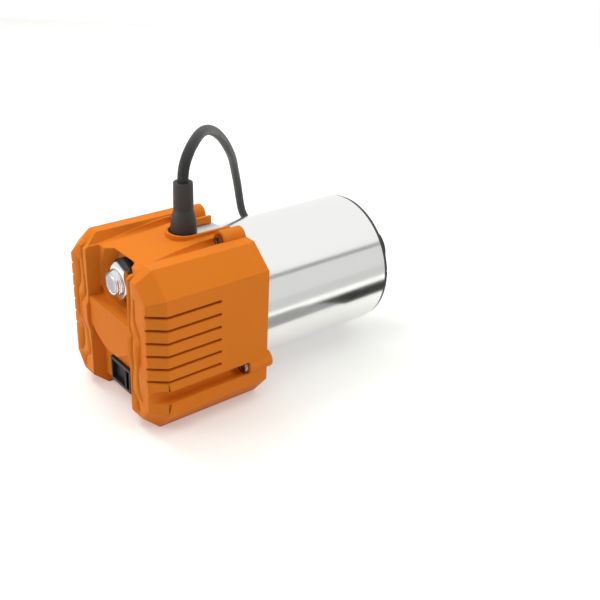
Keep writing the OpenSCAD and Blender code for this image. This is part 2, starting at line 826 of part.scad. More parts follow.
module nose_screws() {
    color([0.2, 0.2, 0.21]) on_axis() for (a = [45:90:315]) radial(0, a) difference() {
        union() {
            rod(plate_screw_r, front_x - plate_t - plate_screw_len, front_x - plate_head[1], 0, plate_screw_at);
            rod(plate_head[0], front_x - plate_head[1], front_x - 0.1, 0, plate_screw_at);
        }
        flats_rod(plate_hex[0], 6, front_x - plate_hex[1], front_x + cut, 0, plate_screw_at);
    }
}

// ---- bearings ----

function groove_r(size) = (size[1] - size[0]) * 0.16;

module bearing_outer(size, x) {
    mid = (size[0] + size[1]) / 4;
    difference() {
        ring(size[1] / 2, mid + groove_r(size) * 0.75, x, x + size[2]);
        translate([x + size[2] / 2, 0, 0]) rotate([0, 90, 0]) rotate_extrude()
            translate([mid, 0]) circle(r = groove_r(size) + 0.08);
    }
}

module bearing_inner(size, x) {
    mid = (size[0] + size[1]) / 4;
    difference() {
        ring(mid - groove_r(size) * 0.75, size[0] / 2 + 0.01, x, x + size[2]);
        translate([x + size[2] / 2, 0, 0]) rotate([0, 90, 0]) rotate_extrude()
            translate([mid, 0]) circle(r = groove_r(size) + 0.08);
    }
}

module rear_bearing_outer() { color([0.7, 0.7, 0.72]) on_axis() bearing_outer(rear_brg, rear_brg_x); }
module rear_bearing_inner() { color([0.72, 0.72, 0.74]) on_axis() bearing_inner(rear_brg, rear_brg_x); }
module front_bearing_outer() {
    color([0.7, 0.7, 0.72]) on_axis() for (i = [0, 1])
        bearing_outer(front_brg, front_brg_x + i * front_brg[2]);
}
module front_bearing_inner() {
    color([0.72, 0.72, 0.74]) on_axis() for (i = [0, 1])
        bearing_inner(front_brg, front_brg_x + i * front_brg[2]);
}

// ---- stator ----

// A sector of a ring about X, centred on the given angle from the top
module sector(out_r, in_r, x0, x1, span, angle) {
    radial(x0, angle) rotate([0, 90, 0]) rotate([0, 0, 180 - span / 2])
        rotate_extrude(angle = span) translate([in_r, 0]) square([out_r - in_r, x1 - x0]);
}

module stator_core() {
    color([0.45, 0.46, 0.48]) on_axis() difference() {
        rod(tube_in_r - fit_gap, core_x, core_end);
        rod(pole_r, core_x - cut, core_end + cut);
        for (a = [90, 270])
            sector(yoke_in_r, pole_r - 2, core_x - cut, core_end + cut, 180 - pole_span, a);
    }
}

module field_coils() {
    side = 14;
    out = winding_len - 4;
    color([0.7, 0.32, 0.12]) on_axis() for (a = [0, 180]) difference() {
        sector(yoke_in_r - 0.5, pole_r + 0.5, core_x - out, core_end + out, pole_span + 2 * side + 2, a);
        sector(yoke_in_r + 2, pole_r - 2, core_x - run_gap, core_end + run_gap, pole_span + 2, a);
    }
}

// ---- rotor ----

module armature_core() {
    r = armature_r;
    color([0.4, 0.4, 0.42]) on_axis() difference() {
        rod(r, core_x, core_end);
        rod(shaft_r + 0.01, core_x - cut, core_end + cut);
        for (i = [0:armature_slots - 1]) radial(0, i * 360 / armature_slots) {
            box([core_x - cut, -0.9, r - 2], [core_end + cut, 0.9, r + cut]);
            rod(slot_r, core_x - cut, core_end + cut, 0, r - slot_in);
        }
    }
}

module armature_windings() {
    r = armature_r;
    reach = winding_len - 2;
    color([0.75, 0.38, 0.14]) on_axis() {
        for (i = [0:armature_slots - 1]) radial(0, i * 360 / armature_slots)
            rod(slot_r - slot_gap, core_x - end_turn[0] / 4, core_end + end_turn[0] / 4, 0, r - slot_in);
        turned([
            [core_x, shaft_r + 0.1], [core_x, r - end_turn[1]], [core_x - end_turn[0], r - end_turn[2]],
            [core_x - reach, r - end_turn[3]], [core_x - reach, shaft_r + 0.1]
        ]);
        turned([
            [core_end, shaft_r + 0.1], [core_end, r - end_turn[1]], [core_end + end_turn[0], r - end_turn[2]],
            [core_end + reach, r - end_turn[3]], [core_end + reach, shaft_r + 0.1]
        ]);
    }
}

module commutator() {
    r = commutator_d / 2;
    bars = armature_slots * 2;
    x1 = commutator_x + commutator_len;
    color([0.72, 0.45, 0.25]) on_axis() difference() {
        union() {
            rod(r, commutator_x, x1);
            rod(r + 1.5, x1, x1 + 1.5);
            rod(shaft_r + 3, x1, core_x - winding_len + 2 - 0.05);
        }
        rod(shaft_r + 0.01, commutator_x - cut, core_x);
        for (i = [0:bars - 1]) radial(0, i * 360 / bars)
            box([commutator_x - cut, -0.3, r - 0.8], [x1 + 3, 0.3, r + 3]);
    }
}

module cooling_fan() {
    color([0.12, 0.12, 0.13]) on_axis() difference() {
        union() {
            rod(shaft_r + 4, fan_x, fan_x + fan_t);
            rod(fan_r, fan_x, fan_x + 1.6);
            for (i = [0:fan_blades - 1]) radial(0, i * 360 / fan_blades)
                translate([0, 0, shaft_r + 3]) rotate([0, 0, 0])
                    multmatrix([[1, 0, 0, 0], [0, 1, 0.35, -2], [0, 0, 1, 0], [0, 0, 0, 1]])
                        box([fan_x, -0.8, 0], [fan_x + fan_t, 0.8, fan_r - shaft_r - 6]);
        }
        rod(shaft_r + 0.01, fan_x - cut, fan_x + fan_t + cut);
    }
}

// ---- spindle nose ----

module spindle_shaft() {
    seat = front_brg[0] / 2;
    thread_r = nose_thread_d / 2;
    taper_x = shaft_face;
    taper_r = collet_r + taper * (taper_x - collet_front + collet_cone) + run_gap;
    deep_r = collet_back_r - 0.15;
    relief_x = collet_back + 3;
    color([0.55, 0.56, 0.58]) on_axis() difference() {
        turned([
            [rear_brg_x - 2, 0], [rear_brg_x - 2, rear_brg[0] / 2], [frame_x, rear_brg[0] / 2],
            [frame_x, shaft_r], [plate_x, shaft_r], [plate_x, seat + 2.5], [front_brg_x, seat + 2.5],
            [front_brg_x, seat], [front_x - plate_t, seat], [front_x - plate_t, neck_r],
            [flats_x, neck_r], [flats_x, neck_r - 1], [flats_x + flats_len, neck_r - 1],
            [flats_x + flats_len, thread_r], [taper_x - 0.8, thread_r], [taper_x, thread_r - 0.8],
            [taper_x, 0]
        ]);
        turned([
            [taper_x + 0.01, 0], [taper_x + 0.01, taper_r],
            [relief_x, taper_r - taper * (taper_x - relief_x)], [relief_x, collet_back_r + 0.9],
            [collet_back - 1, collet_back_r + 0.9],
            [collet_back - 1, deep_r - 1], [collet_back - 14, deep_r - 1], [collet_back - 14, 0]
        ]);
        for (s = [-1, 1]) box([flats_x, -neck_r, min(s * flats_af / 2, s * neck_r)],
            [flats_x + flats_len, neck_r, max(s * flats_af / 2, s * neck_r)]);
    }
}

function collet_points() = [
    [collet_back, 0], [collet_back, collet_back_r], [collet_front - collet_cone, collet_r],
    [collet_front - collet_cone + 0.4, collet_r - 1.3], [collet_front - 5.4, collet_r - 1.3],
    [collet_front - 5, collet_r - 0.4], [collet_front, collet_r - 3.3], [collet_front, 0]
];

module collet() {
    slot = 0.7;
    slots = 8;
    color([0.85, 0.84, 0.8]) on_axis() difference() {
        turned(collet_points());
        rod(collet_bore_d / 2, collet_back - cut, collet_front + cut);
        for (i = [0:slots - 1]) {
            radial(0, i * 360 / slots) box([collet_back + 5, -slot / 2, 0], [collet_front + cut, slot / 2, collet_d]);
            radial(0, (i + 0.5) * 360 / slots)
                box([collet_back - cut, -slot / 2, 0], [collet_front - 8.5, slot / 2, collet_d]);
        }
    }
}

module collet_nut() {
    hex_x = nose_x - nut_hex_len;
    r = nut_d / 2;
    gap = 0.15;
    color([0.07, 0.07, 0.08]) on_axis() difference() {
        union() {
            turned([[nut_x, 0], [nut_x, r - 0.8], [nut_x + 0.8, r], [hex_x, r], [hex_x, 0]]);
            intersection() {
                flats_rod(nut_af, 6, hex_x, nose_x);
                turned([[hex_x, 0], [hex_x, r], [nose_x - 3.2, r], [nose_x, r - 4.5], [nose_x, 0]]);
            }
        }
        turned([
            [nut_x - cut, 0], [nut_x - cut, nose_thread_d / 2 + gap], [shaft_face + 0.3, nose_thread_d / 2 + gap],
            [collet_front - 5.6, collet_r + gap], [collet_front - 5, collet_r - 0.4 + gap],
            [collet_front, collet_r - 3.3 + gap], [nose_x + cut, collet_r - 3.3 + gap], [nose_x + cut, 0]
        ]);
    }
}

// ---- lead, coil and plug ----

function catmull(a, b, c, d, t) = (
    2 * b + (c - a) * t + (2 * a - 5 * b + 4 * c - d) * t * t + (3 * b - a - 3 * c + d) * t * t * t
) / 2;

// A smooth line through the points, n steps from each to the next
function smooth(p, n) = let (last = len(p) - 1) concat(
    [for (i = [0:last - 1], k = [0:n - 1]) catmull(
        i > 0 ? p[i - 1] : 2 * p[0] - p[1], p[i], p[i + 1],
        i + 2 <= last ? p[i + 2] : 2 * p[last] - p[last - 1], k / n
    )],
    [p[last]]
);

function heading(p, i) = unit(p[min(i + 1, len(p) - 1)] - p[max(i - 1, 0)]);

function turned_normal(v, t) = unit(v - (v * t) * t);

// One direction across the line per point, carried along without twisting
function normals(p) = [
    for (
        i = 0, v = turned_normal([0, 0.1, 1] + [1, 0, 0] * abs(heading(p, 0)[2]), heading(p, 0));
        i < len(p);
        i = i + 1, v = turned_normal(v, heading(p, min(i, len(p) - 1)))
    ) v
];

module tube(p, r, sides) {
    v = normals(p);
    n = len(p);
    rings = [
        for (i = [0:n - 1], k = [0:sides - 1])
            let (a = 360 * k / sides, w = cross(heading(p, i), v[i]))
            p[i] + r * (cos(a) * v[i] + sin(a) * w)
    ];
    walls = [
        for (i = [0:n - 2], k = [0:sides - 1])
            let (q = (k + 1) % sides)
            [i * sides + k, i * sides + q, (i + 1) * sides + q, (i + 1) * sides + k]
    ];
    caps = [[for (k = [sides - 1:-1:0]) k], [for (k = [0:sides - 1]) (n - 1) * sides + k]];
    polyhedron(rings, concat(walls, caps), convexity = 12);
}

// Centre line of the coil: a spiral in over the lower layer, a climb at its middle, a spiral out
function ease(x) = let (c = min(max(x, 0), 1)) c * c * (3 - 2 * c);

function coil_point(t) =
    let (
        r = coil_in_r + coil_pitch * abs(coil_turns - t),
        z = coil_z + coil_pitch * ease((t - coil_turns + 0.25) / 0.5),
        a = -90 - 360 * t
    )
    [coil_at[0] + r * cos(a), coil_at[1] + r * sin(a), z];

function coil_line() = concat(
    [coil_point(0) + [cord_d, 0, 0]],
    [for (i = [0:2 * coil_turns * coil_steps]) coil_point(i / coil_steps)],
    [coil_point(2 * coil_turns) - [cord_d, 0, 0]]
);

// Least gap between one turn and the others, measured between points of the centre line
function coil_gap() = let (p = coil_line(), n = len(p)) min([
    for (i = [0:n - 1 - coil_steps / 2], j = [i + coil_steps / 2:n - 1]) norm(p[i] - p[j])
]) - cord_d;

module cord_free() {
    color([0.1, 0.1, 0.11]) on_axis() tube(smooth(route, 2), cord_d / 2, 8);
}

module cord_coil() {
    echo(coil_gap = coil_gap());
    color([0.1, 0.1, 0.11]) on_axis() tube(coil_line(), cord_d / 2, 6);
}

module cord_tail() {
    color([0.1, 0.1, 0.11]) on_axis() tube(smooth(tail, 2), cord_d / 2, 8);
}

module cord_tie() {
    in0 = coil_at[1] + coil_in_r + coil_pitch / 2 - cord_d / 2 - 0.9;
    in1 = coil_at[1] + coil_in_r + coil_pitch * (coil_turns - 0.5) + cord_d / 2 + 0.5;
    z1 = coil_z + coil_pitch + cord_d / 2 + 0.4;
    color([0.05, 0.05, 0.05]) on_axis() difference() {
        box([coil_at[0] - 5, in0 - tie_t, -half_h], [coil_at[0] + 5, in1 + tie_t, z1 + tie_t]);
        box([coil_at[0] - 6, in0, -half_h + tie_t], [coil_at[0] + 6, in1, z1]);
    }
}

module plug_body() {
    r = plug_h / 2;
    z = plug_z;
    color([0.1, 0.1, 0.11]) on_axis() {
        translate([0, plug_y, z]) rotate([-90, 0, 0]) cylinder(r1 = cord_d / 2 + 1, r2 = 6, h = 20);
        translate([0, plug_y + 20, z]) rotate([-90, 0, 0]) cylinder(r1 = 8, r2 = r - 1, h = 8);
        translate([0, plug_y + 28, z]) rotate([-90, 0, 0]) linear_extrude(22) hull() {
            for (x = [-1, 1]) translate([x * 5, 0]) circle(r = r);
        }
    }
}

module plug_pins() {
    z = plug_z;
    color([0.8, 0.8, 0.8]) on_axis() for (x = [-9.5, 9.5]) translate([x, plug_y + 50, z]) rotate([-90, 0, 0]) {
        cylinder(r = 2.4, h = 18);
        translate([0, 0, 18]) cylinder(r1 = 2.4, r2 = 1.4, h = 1);
    }
}

rear_cover();
cover_screws();
button_body();
button_barrel();
button_nut();
button_cap();
switch_frame();
switch_rocker();
cable_boot();
rear_frame();
control_board();
board_parts();
brush_holder_near();
brush_holder_far();
brush_near();
brush_far();
body_tube();
front_ring();
tube_screws();
front_housing();
nose_plate();
nose_screws();
rear_bearing_outer();
rear_bearing_inner();
front_bearing_outer();
front_bearing_inner();
stator_core();
field_coils();
armature_core();
armature_windings();
commutator();
cooling_fan();
spindle_shaft();
collet();
collet_nut();
cord_free();
cord_coil();
cord_tail();
cord_tie();
plug_body();
plug_pins();
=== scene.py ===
# %% [markdown]
# # A milling spindle motor with its mains lead
#
# The object is a small milling spindle: a bright clamping tube, an orange moulded cover on its rear end, a
# rocker switch and a chromed push button in the cover's recess, a black lead on top, and a collet nose in
# front. The CAD model gives every size. This notebook dresses it: it puts rounder, finer surfaces over the
# pieces that are seen, gives each piece a finish, and sets up a small studio.

# %% Load the CAD model as a fixed frame
import json
import math

import bmesh
import bpy
import numpy as np
from mathutils import Matrix, Vector

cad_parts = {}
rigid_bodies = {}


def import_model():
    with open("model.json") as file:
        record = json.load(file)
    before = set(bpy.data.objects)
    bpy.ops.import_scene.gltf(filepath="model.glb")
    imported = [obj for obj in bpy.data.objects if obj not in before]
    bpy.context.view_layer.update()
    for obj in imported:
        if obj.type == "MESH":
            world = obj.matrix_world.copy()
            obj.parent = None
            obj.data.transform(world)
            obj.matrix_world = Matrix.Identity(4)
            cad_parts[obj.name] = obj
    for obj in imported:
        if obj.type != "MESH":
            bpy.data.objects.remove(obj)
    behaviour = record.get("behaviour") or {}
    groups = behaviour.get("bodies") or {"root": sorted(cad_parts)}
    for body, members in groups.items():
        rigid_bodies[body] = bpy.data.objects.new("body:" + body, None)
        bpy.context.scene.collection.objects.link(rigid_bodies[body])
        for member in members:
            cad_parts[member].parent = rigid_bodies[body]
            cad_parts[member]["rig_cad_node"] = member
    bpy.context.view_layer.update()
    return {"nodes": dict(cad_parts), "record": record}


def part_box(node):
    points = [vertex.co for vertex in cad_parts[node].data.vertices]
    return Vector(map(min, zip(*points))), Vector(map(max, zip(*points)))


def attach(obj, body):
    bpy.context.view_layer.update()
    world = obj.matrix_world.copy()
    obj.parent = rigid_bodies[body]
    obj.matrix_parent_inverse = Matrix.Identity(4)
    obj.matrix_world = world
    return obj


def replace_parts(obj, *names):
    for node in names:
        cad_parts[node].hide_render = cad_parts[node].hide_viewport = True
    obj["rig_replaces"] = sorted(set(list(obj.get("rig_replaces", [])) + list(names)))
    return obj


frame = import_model()
nodes = frame["nodes"]

# %% [markdown]
# ## One drawing frame for every piece
#
# The motor's own drawing measures from its axis: x = 0 is the front plane of the cover, z = 0 is the
# spindle axis. The scene stands the motor on the floor and centres it. Working in the drawing's millimetres
# and moving the result at the end keeps each number readable, so one small function does the move for every
# piece.

# %% From the drawing's millimetres to the scene's metres
AXIS_HEIGHT = 45.5
MIDDLE = 25.9


def to_scene(points):
    """Drawing millimetres to scene metres: (x - MIDDLE, y, z + AXIS_HEIGHT) / 1000.
    Works on an array of any shape whose last side is 3."""
    return (np.asarray(points, float) + [-MIDDLE, 0.0, AXIS_HEIGHT]) * 0.001


print("Front plane of the cover in the scene:", to_scene([0, 0, 0]).round(5))

# %% [markdown]
# ## The camera
#
# A studio camera looks down at the motor from the rear left. A long-ish lens keeps the box of the cover
# from looking stretched. The camera is turned by a matrix built from its azimuth, elevation and a slight
# roll, which is easier to check than three Euler angles.

# %% Place the camera
CAMERA_AT = (-0.28841, -0.37529, 0.28210)
AZIMUTH, ELEVATION, ROLL = -40.77, 27.49, 2.86
LENS_PER_PICTURE_WIDTH = 894.12 / 600


def camera_turn(azimuth, elevation, roll):
    """Rotation matrix whose columns are the camera's right, up and backward directions.
    back = (sin a cos e, -cos a cos e, sin e), right = (cos a, sin a, 0), up = back x right.
    Then right and up turn by the roll."""
    a, e, r = np.radians([azimuth, elevation, roll])
    back = np.array([np.sin(a) * np.cos(e), -np.cos(a) * np.cos(e), np.sin(e)])
    right = np.array([np.cos(a), np.sin(a), 0.0])
    up = np.cross(back, right)
    return np.stack([right * np.cos(r) + up * np.sin(r), up * np.cos(r) - right * np.sin(r), back], 1)


lens = bpy.data.cameras.new("Studio camera")
lens.sensor_width = 36.0
lens.lens = LENS_PER_PICTURE_WIDTH * lens.sensor_width
camera = bpy.data.objects.new("Studio camera", lens)
bpy.context.scene.collection.objects.link(camera)
camera.matrix_world = (Matrix.Translation(CAMERA_AT)
                       @ Matrix(camera_turn(AZIMUTH, ELEVATION, ROLL).tolist()).to_4x4())
bpy.context.scene.camera = camera
print("Lens:", round(lens.lens, 2), "mm")

# %% [markdown]
# ## Surfaces from grids of points
#
# Nearly every piece here is a skin stretched over a grid of points: rings along a path, or a profile turned
# about the spindle axis. The points are computed as one array. The faces only depend on how the grid
# closes: round the ring, along the path, or not at all.

# %% A mesh from a grid of points
def skin(name, grid, along=False, sharp=40, body="motor"):
    """Object from grid[i, k]: row i joins row i + 1, and the last column joins the first.
    With along, the last row joins the first too. Without it, each end is closed by one flat face."""
    rows, columns = grid.shape[:2]
    index = np.arange(rows * columns).reshape(rows, columns)
    near = index if along else index[:-1]
    far = np.roll(index, -1, 0) if along else index[1:]
    quads = np.stack([near, np.roll(near, -1, 1), np.roll(far, -1, 1), far], -1).reshape(-1, 4)
    faces = quads.tolist()
    if not along:
        faces += [index[0][::-1].tolist(), index[-1].tolist()]
    mesh = bpy.data.meshes.new(name)
    mesh.from_pydata(to_scene(grid.reshape(-1, 3)), [], faces)
    return finish_mesh(name, mesh, sharp, body)


def finish_mesh(name, mesh, sharp, body):
    """Object of a mesh, shaded smooth except over edges sharper than the given angle, riding on its body."""
    mesh.shade_smooth()
    mesh.set_sharp_from_angle(angle=math.radians(sharp))
    piece = bpy.data.objects.new(name, mesh)
    bpy.context.scene.collection.objects.link(piece)
    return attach(piece, body)


def rounded(corners, radius, steps=5):
    """Polyline with its inner corners rounded: each corner C becomes the curve (1-t)^2 A + 2t(1-t) C + t^2 B.
    A and B lie on its two edges at the radius from C, or at just under half the edge where that is nearer."""
    p = np.asarray(corners, float)
    back, ahead = p[:-2] - p[1:-1], p[2:] - p[1:-1]
    r = np.broadcast_to(np.asarray(radius, float), len(p) - 2)[:, None]
    size_back, size_ahead = np.linalg.norm(back, axis=1)[:, None], np.linalg.norm(ahead, axis=1)[:, None]
    a = p[1:-1] + back / size_back * np.minimum(r, 0.48 * size_back)
    b = p[1:-1] + ahead / size_ahead * np.minimum(r, 0.48 * size_ahead)
    t = np.linspace(0, 1, steps)[None, :, None]
    arcs = (1 - t) ** 2 * a[:, None] + 2 * t * (1 - t) * p[1:-1][:, None] + t ** 2 * b[:, None]
    return np.concatenate([p[:1], arcs.reshape(-1, p.shape[1]), p[-1:]])


def turned(name, profile, sides=96, centre=(0.0, 0.0), along=False, sharp=40, body="motor"):
    """Lathe work about the X direction: profile rows are (x, r), and the point at angle a is
    (x, y0 + r cos a, z0 + r sin a). A profile that runs towards +X on the outside faces outwards."""
    profile = np.asarray(profile, float)
    a = np.arange(sides) * 2 * np.pi / sides
    x, r = profile[:, 0][:, None], profile[:, 1][:, None]
    grid = np.stack([x + 0 * a, centre[0] + r * np.cos(a), centre[1] + r * np.sin(a)], -1)
    return skin(name, grid, along, sharp, body)


# %% [markdown]
# ## The mains lead
#
# The lead rises out of its strain relief, arches over to the bench behind the motor, and the rest of it is
# wound into a flat coil of two layers. A tube along a smooth path does all of it in one piece. The path is
# the one the CAD model uses: a Catmull-Rom curve through listed points, and a spiral for the coil.

# %% The path of the lead
LEAD = 6.0
COIL_TURNS = 4
COIL_AT = np.array([80.0, 86.0])
COIL_INNER = 22.6
COIL_PITCH = LEAD + 0.6
COIL_LOW = -AXIS_HEIGHT + 1.2 + LEAD / 2
ON_BENCH = -AXIS_HEIGHT + LEAD / 2
COIL_EDGE = COIL_AT[1] - COIL_INNER - COIL_PITCH * COIL_TURNS
BOOT_X, BOOT_SEAT, BOOT_HEIGHT, BOOT_SOCKET = -23.4, 41.5, 32.0, 3.0
BOOT_TOP = BOOT_SEAT + BOOT_HEIGHT
PLUG_Y, PLUG_Z = 66.0, -AXIS_HEIGHT + 13.0

seen_points = np.array([
    [BOOT_X, 0, BOOT_TOP - BOOT_SOCKET], [BOOT_X + 0.1, 0, BOOT_TOP + 3.5], [-21.7, 0.6, 82.8],
    [-17.2, 3.8, 87.2], [-9.8, 10.2, 89.6], [-0.5, 19, 90], [10, 29.5, 87.8], [22.5, 42.5, 82.8],
    [38, 58.5, 74.5], [55, 76, 63], [71, 92.5, 50], [86.5, 109, 35.5], [100.5, 125, 19], [111.5, 136.5, 2],
    [119.5, 144.5, -13.5], [125, 148.5, -26], [132, 151.5, -35], [142, 153, ON_BENCH + 2],
    [155, 153, ON_BENCH], [168, 149, ON_BENCH], [179, 140.5, ON_BENCH], [186, 129, ON_BENCH],
    [188.5, 115, ON_BENCH], [186, 100, ON_BENCH], [179, 85, ON_BENCH], [168, 70, ON_BENCH],
    [153, 57, ON_BENCH], [136, 46.5, ON_BENCH], [118, COIL_EDGE + 3.5, ON_BENCH + 0.5],
    [101, COIL_EDGE + 0.3, COIL_LOW], [COIL_AT[0] + LEAD, COIL_EDGE, COIL_LOW]])
tail_points = np.array([
    [COIL_AT[0] - LEAD, COIL_EDGE, COIL_LOW + COIL_PITCH], [62, COIL_EDGE + 0.7, -36.5],
    [47, COIL_EDGE + 2, -40], [32, COIL_EDGE + 4.5, ON_BENCH], [18, 45, -41.5], [8, 49.5, -38.5],
    [2, 55, -34.6], [0, 61, PLUG_Z], [0, PLUG_Y, PLUG_Z]])


def through(points, steps):
    """Catmull-Rom curve: between b and c, with neighbours a and d,
    (2b + (c-a)t + (2a-5b+4c-d)t^2 + (3b-a-3c+d)t^3) / 2, with t in equal steps from 0 to 1."""
    p = np.concatenate([[2 * points[0] - points[1]], points, [2 * points[-1] - points[-2]]])
    a, b, c, d = (p[i:len(p) - 3 + i, None] for i in range(4))
    t = (np.arange(steps) / steps)[None, :, None]
    line = (2 * b + (c - a) * t + (2 * a - 5 * b + 4 * c - d) * t ** 2 + (3 * b - a - 3 * c + d) * t ** 3) / 2
    return np.concatenate([line.reshape(-1, 3), points[-1:]])


def coil_line(steps):
    """Two flat spirals, one on the other: at turn t the radius is inner + pitch |turns - t|, the angle
    falls by a full circle each turn, and the height rises by one pitch in the half turn at the middle."""
    t = np.arange(2 * COIL_TURNS * steps + 1) / steps
    r = COIL_INNER + COIL_PITCH * np.abs(COIL_TURNS - t)
    climb = np.clip((t - COIL_TURNS + 0.25) / 0.5, 0, 1)
    a = np.radians(-90 - 360 * t)
    return np.stack([COIL_AT[0] + r * np.cos(a), COIL_AT[1] + r * np.sin(a),
                     COIL_LOW + COIL_PITCH * climb ** 2 * (3 - 2 * climb)], -1)


lead_path = np.concatenate([through(seen_points, 5)[:-1], coil_line(48), through(tail_points, 5)[1:]])

# %% A tube along a path
def tube(name, path, radius, sides=20, body="motor"):
    """Tube of circles set square to the path. The side direction of a ring is the last ring's, with its part
    along the path's new heading taken off, so the tube doesn't twist: v' = v - (v . h) h, and w = h x v."""
    heading = np.gradient(path, axis=0)
    heading /= np.linalg.norm(heading, axis=1)[:, None]
    side = np.zeros_like(path)
    v = np.cross(heading[0], [0.3, 1.0, 0.2])
    for i, h in enumerate(heading):
        v = v - (v @ h) * h
        v = v / np.linalg.norm(v)
        side[i] = v
    other = np.cross(heading, side)
    a = np.arange(sides) * 2 * np.pi / sides
    r = np.broadcast_to(np.asarray(radius, float), len(path))[:, None, None]
    grid = path[:, None] + r * (np.cos(a)[:, None] * side[:, None] + np.sin(a)[:, None] * other[:, None])
    piece = skin(name, grid, sharp=60, body=body)
    far = np.concatenate([[0], np.cumsum(np.linalg.norm(np.diff(path, axis=0), axis=1))])
    along = piece.data.attributes.new("along", "FLOAT", "POINT")
    along.data.foreach_set("value", np.repeat(far, sides).astype(np.float32))
    return piece


lead = tube("mains_lead", lead_path, LEAD / 2)
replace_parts(lead, "cord_free", "cord_coil", "cord_tail")

# %% [markdown]
# ## The plug and the tie
#
# A moulded plug ends the lead. Its body is a loft: an oval ring for each station along Y, with a width, a
# height and a squareness that change smoothly from the round, ribbed relief to the flat grip. The coil is
# held by a strap, which is a small rounded section carried round a rectangle.

# %% The plug's body and pins
station = np.concatenate([np.linspace(0, 20, 61), np.linspace(20.4, 50, 75)])
knots = np.array([0, 0.5, 20, 20.6, 22, 28, 31, 36, 47, 49.2, 50])
half_width = np.interp(station, knots, [3.4, 4.0, 6.0, 7.4, 8.6, 12.5, 16.2, 17.7, 17.9, 17.5, 16.4])
half_height = np.interp(station, knots, [3.4, 4.0, 6.0, 7.4, 8.4, 11.4, 12.4, 12.9, 12.9, 12.5, 11.4])
squareness = np.interp(station, [0, 20, 30, 50], [2.0, 2.0, 2.9, 3.1])
relief_ribs = 0.55 * (np.cos(2 * np.pi * station / 2.9) < -0.2) * (station > 2) * (station < 19)
grip_ribs = 0.35 * (np.cos(2 * np.pi * station / 2.2) < 0) * (station > 33) * (station < 45)
a = np.arange(72) * 2 * np.pi / 72
power = (2 / squareness)[:, None]
oval_x = (half_width - relief_ribs - grip_ribs)[:, None] * np.sign(np.cos(a)) * np.abs(np.cos(a)) ** power
oval_z = (half_height - relief_ribs)[:, None] * np.sign(np.sin(a)) * np.abs(np.sin(a)) ** power
grid = np.stack([oval_x, np.broadcast_to(PLUG_Y + station[:, None], oval_x.shape), PLUG_Z - oval_z], -1)
plug = skin("plug_grip", grid, sharp=50)
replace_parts(plug, "plug_body")

PIN_FOOT, PIN_TIP, PIN_R, PIN_APART = PLUG_Y + 49.5, PLUG_Y + 69, 2.4, 19.0
pin_profile = rounded([[PIN_FOOT, 0.3], [PIN_FOOT, PIN_R], [PIN_TIP, PIN_R], [PIN_TIP, 0.3]], [0.2, 1.4], 7)
pin_y, pin_r = pin_profile[:, 0][:, None], pin_profile[:, 1][:, None]
a = np.arange(32) * 2 * np.pi / 32
pins = []
for side, x in (("near", -PIN_APART / 2), ("far", PIN_APART / 2)):
    grid = np.stack([x + pin_r * np.sin(a), pin_y + 0 * a, PLUG_Z + pin_r * np.cos(a)], -1)
    pins.append(skin("plug_pin_" + side, grid))
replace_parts(pins[0], "plug_pins")

# %% The strap round the coil
turn_centres = COIL_AT[1] + COIL_INNER + COIL_PITCH * np.array([0.5, COIL_TURNS - 0.5])
y0, y1 = turn_centres + [-LEAD / 2 - 1.4, LEAD / 2 + 1.0]
z0, z1 = -AXIS_HEIGHT + 0.5, COIL_LOW + COIL_PITCH + LEAD / 2 + 0.9
start = [y0, (z0 + z1) / 2]
loop = rounded([start, [y0, z0], [y1, z0], [y1, z1], [y0, z1], start], 2.0, 8)[:-1]
heading = np.roll(loop, -1, 0) - np.roll(loop, 1, 0)
heading /= np.linalg.norm(heading, axis=1)[:, None]
outward = np.stack([heading[:, 1], -heading[:, 0]], 1)
section = rounded([[0, 0.5], [4.95, 0.5], [4.95, -0.5], [-4.95, -0.5], [-4.95, 0.5], [0, 0.5]], 0.35, 4)[:-1]
grid = np.stack([COIL_AT[0] + np.broadcast_to(section[:, 0], (len(loop), len(section))),
                 loop[:, 0][:, None] + outward[:, 0][:, None] * section[:, 1],
                 loop[:, 1][:, None] + outward[:, 1][:, None] * section[:, 1]], -1)
strap = skin("coil_strap", grid, along=True)
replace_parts(strap, "cord_tie")

# %% [markdown]
# ## The strain relief
#
# A soft sleeve keeps the lead from kinking where it leaves the cover. It is lathe work: one profile turned
# about the lead's own upright axis, with a wide foot, a waist and a straight neck with a rolled lip.

# %% Turn the strain relief
def turned_upright(name, profile, x, y, sides=64, body="motor"):
    """Lathe work about the Z direction: profile rows are (z, r), and the point at angle a is
    (x + r cos a, y + r sin a, z). A profile that runs upwards on the outside faces outwards."""
    z, r = np.asarray(profile)[:, 0][:, None], np.asarray(profile)[:, 1][:, None]
    a = np.arange(sides) * 2 * np.pi / sides
    return skin(name, np.stack([x + r * np.cos(a), y + r * np.sin(a), z + 0 * a], -1), body=body)


foot, neck = 7.1, 5.3
relief_profile = rounded([
    [0, 0.4], [0, foot - 0.1], [0.8, foot], [8.8, foot - 0.05], [11.2, foot - 0.35], [15.2, neck + 0.62],
    [16.0, neck + 0.28], [16.8, neck + 0.18], [17.2, neck + 0.02], [17.8, neck + 0.14], [31.2, neck - 0.02],
    [32, neck - 0.1], [32, LEAD / 2 + 0.1], [29.2, LEAD / 2 + 0.05]],
    [0.2, 0.4, 0.5, 1.5, 2.0, 0.4, 0.2, 0.2, 0.2, 0.2, 0.5, 0.3], 4)
relief = turned_upright("strain_relief", relief_profile + [BOOT_SEAT, 0], BOOT_X, 0.0)
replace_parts(relief, "cable_boot")

# %% [markdown]
# ## Rounded copies of the CAD pieces
#
# Injection moulding and machining never leave a perfectly sharp edge, and an edge without a radius catches
# no light. The CAD shapes are right, so each seen piece is a copy of its node: the loose triangles are
# joined, flat ones are dissolved into whole faces, and faces with many corners are split into triangles
# again, because a rounded edge can fold such a face over. A Bevel modifier rounds every edge above an angle.
# The copy then stands for its node.

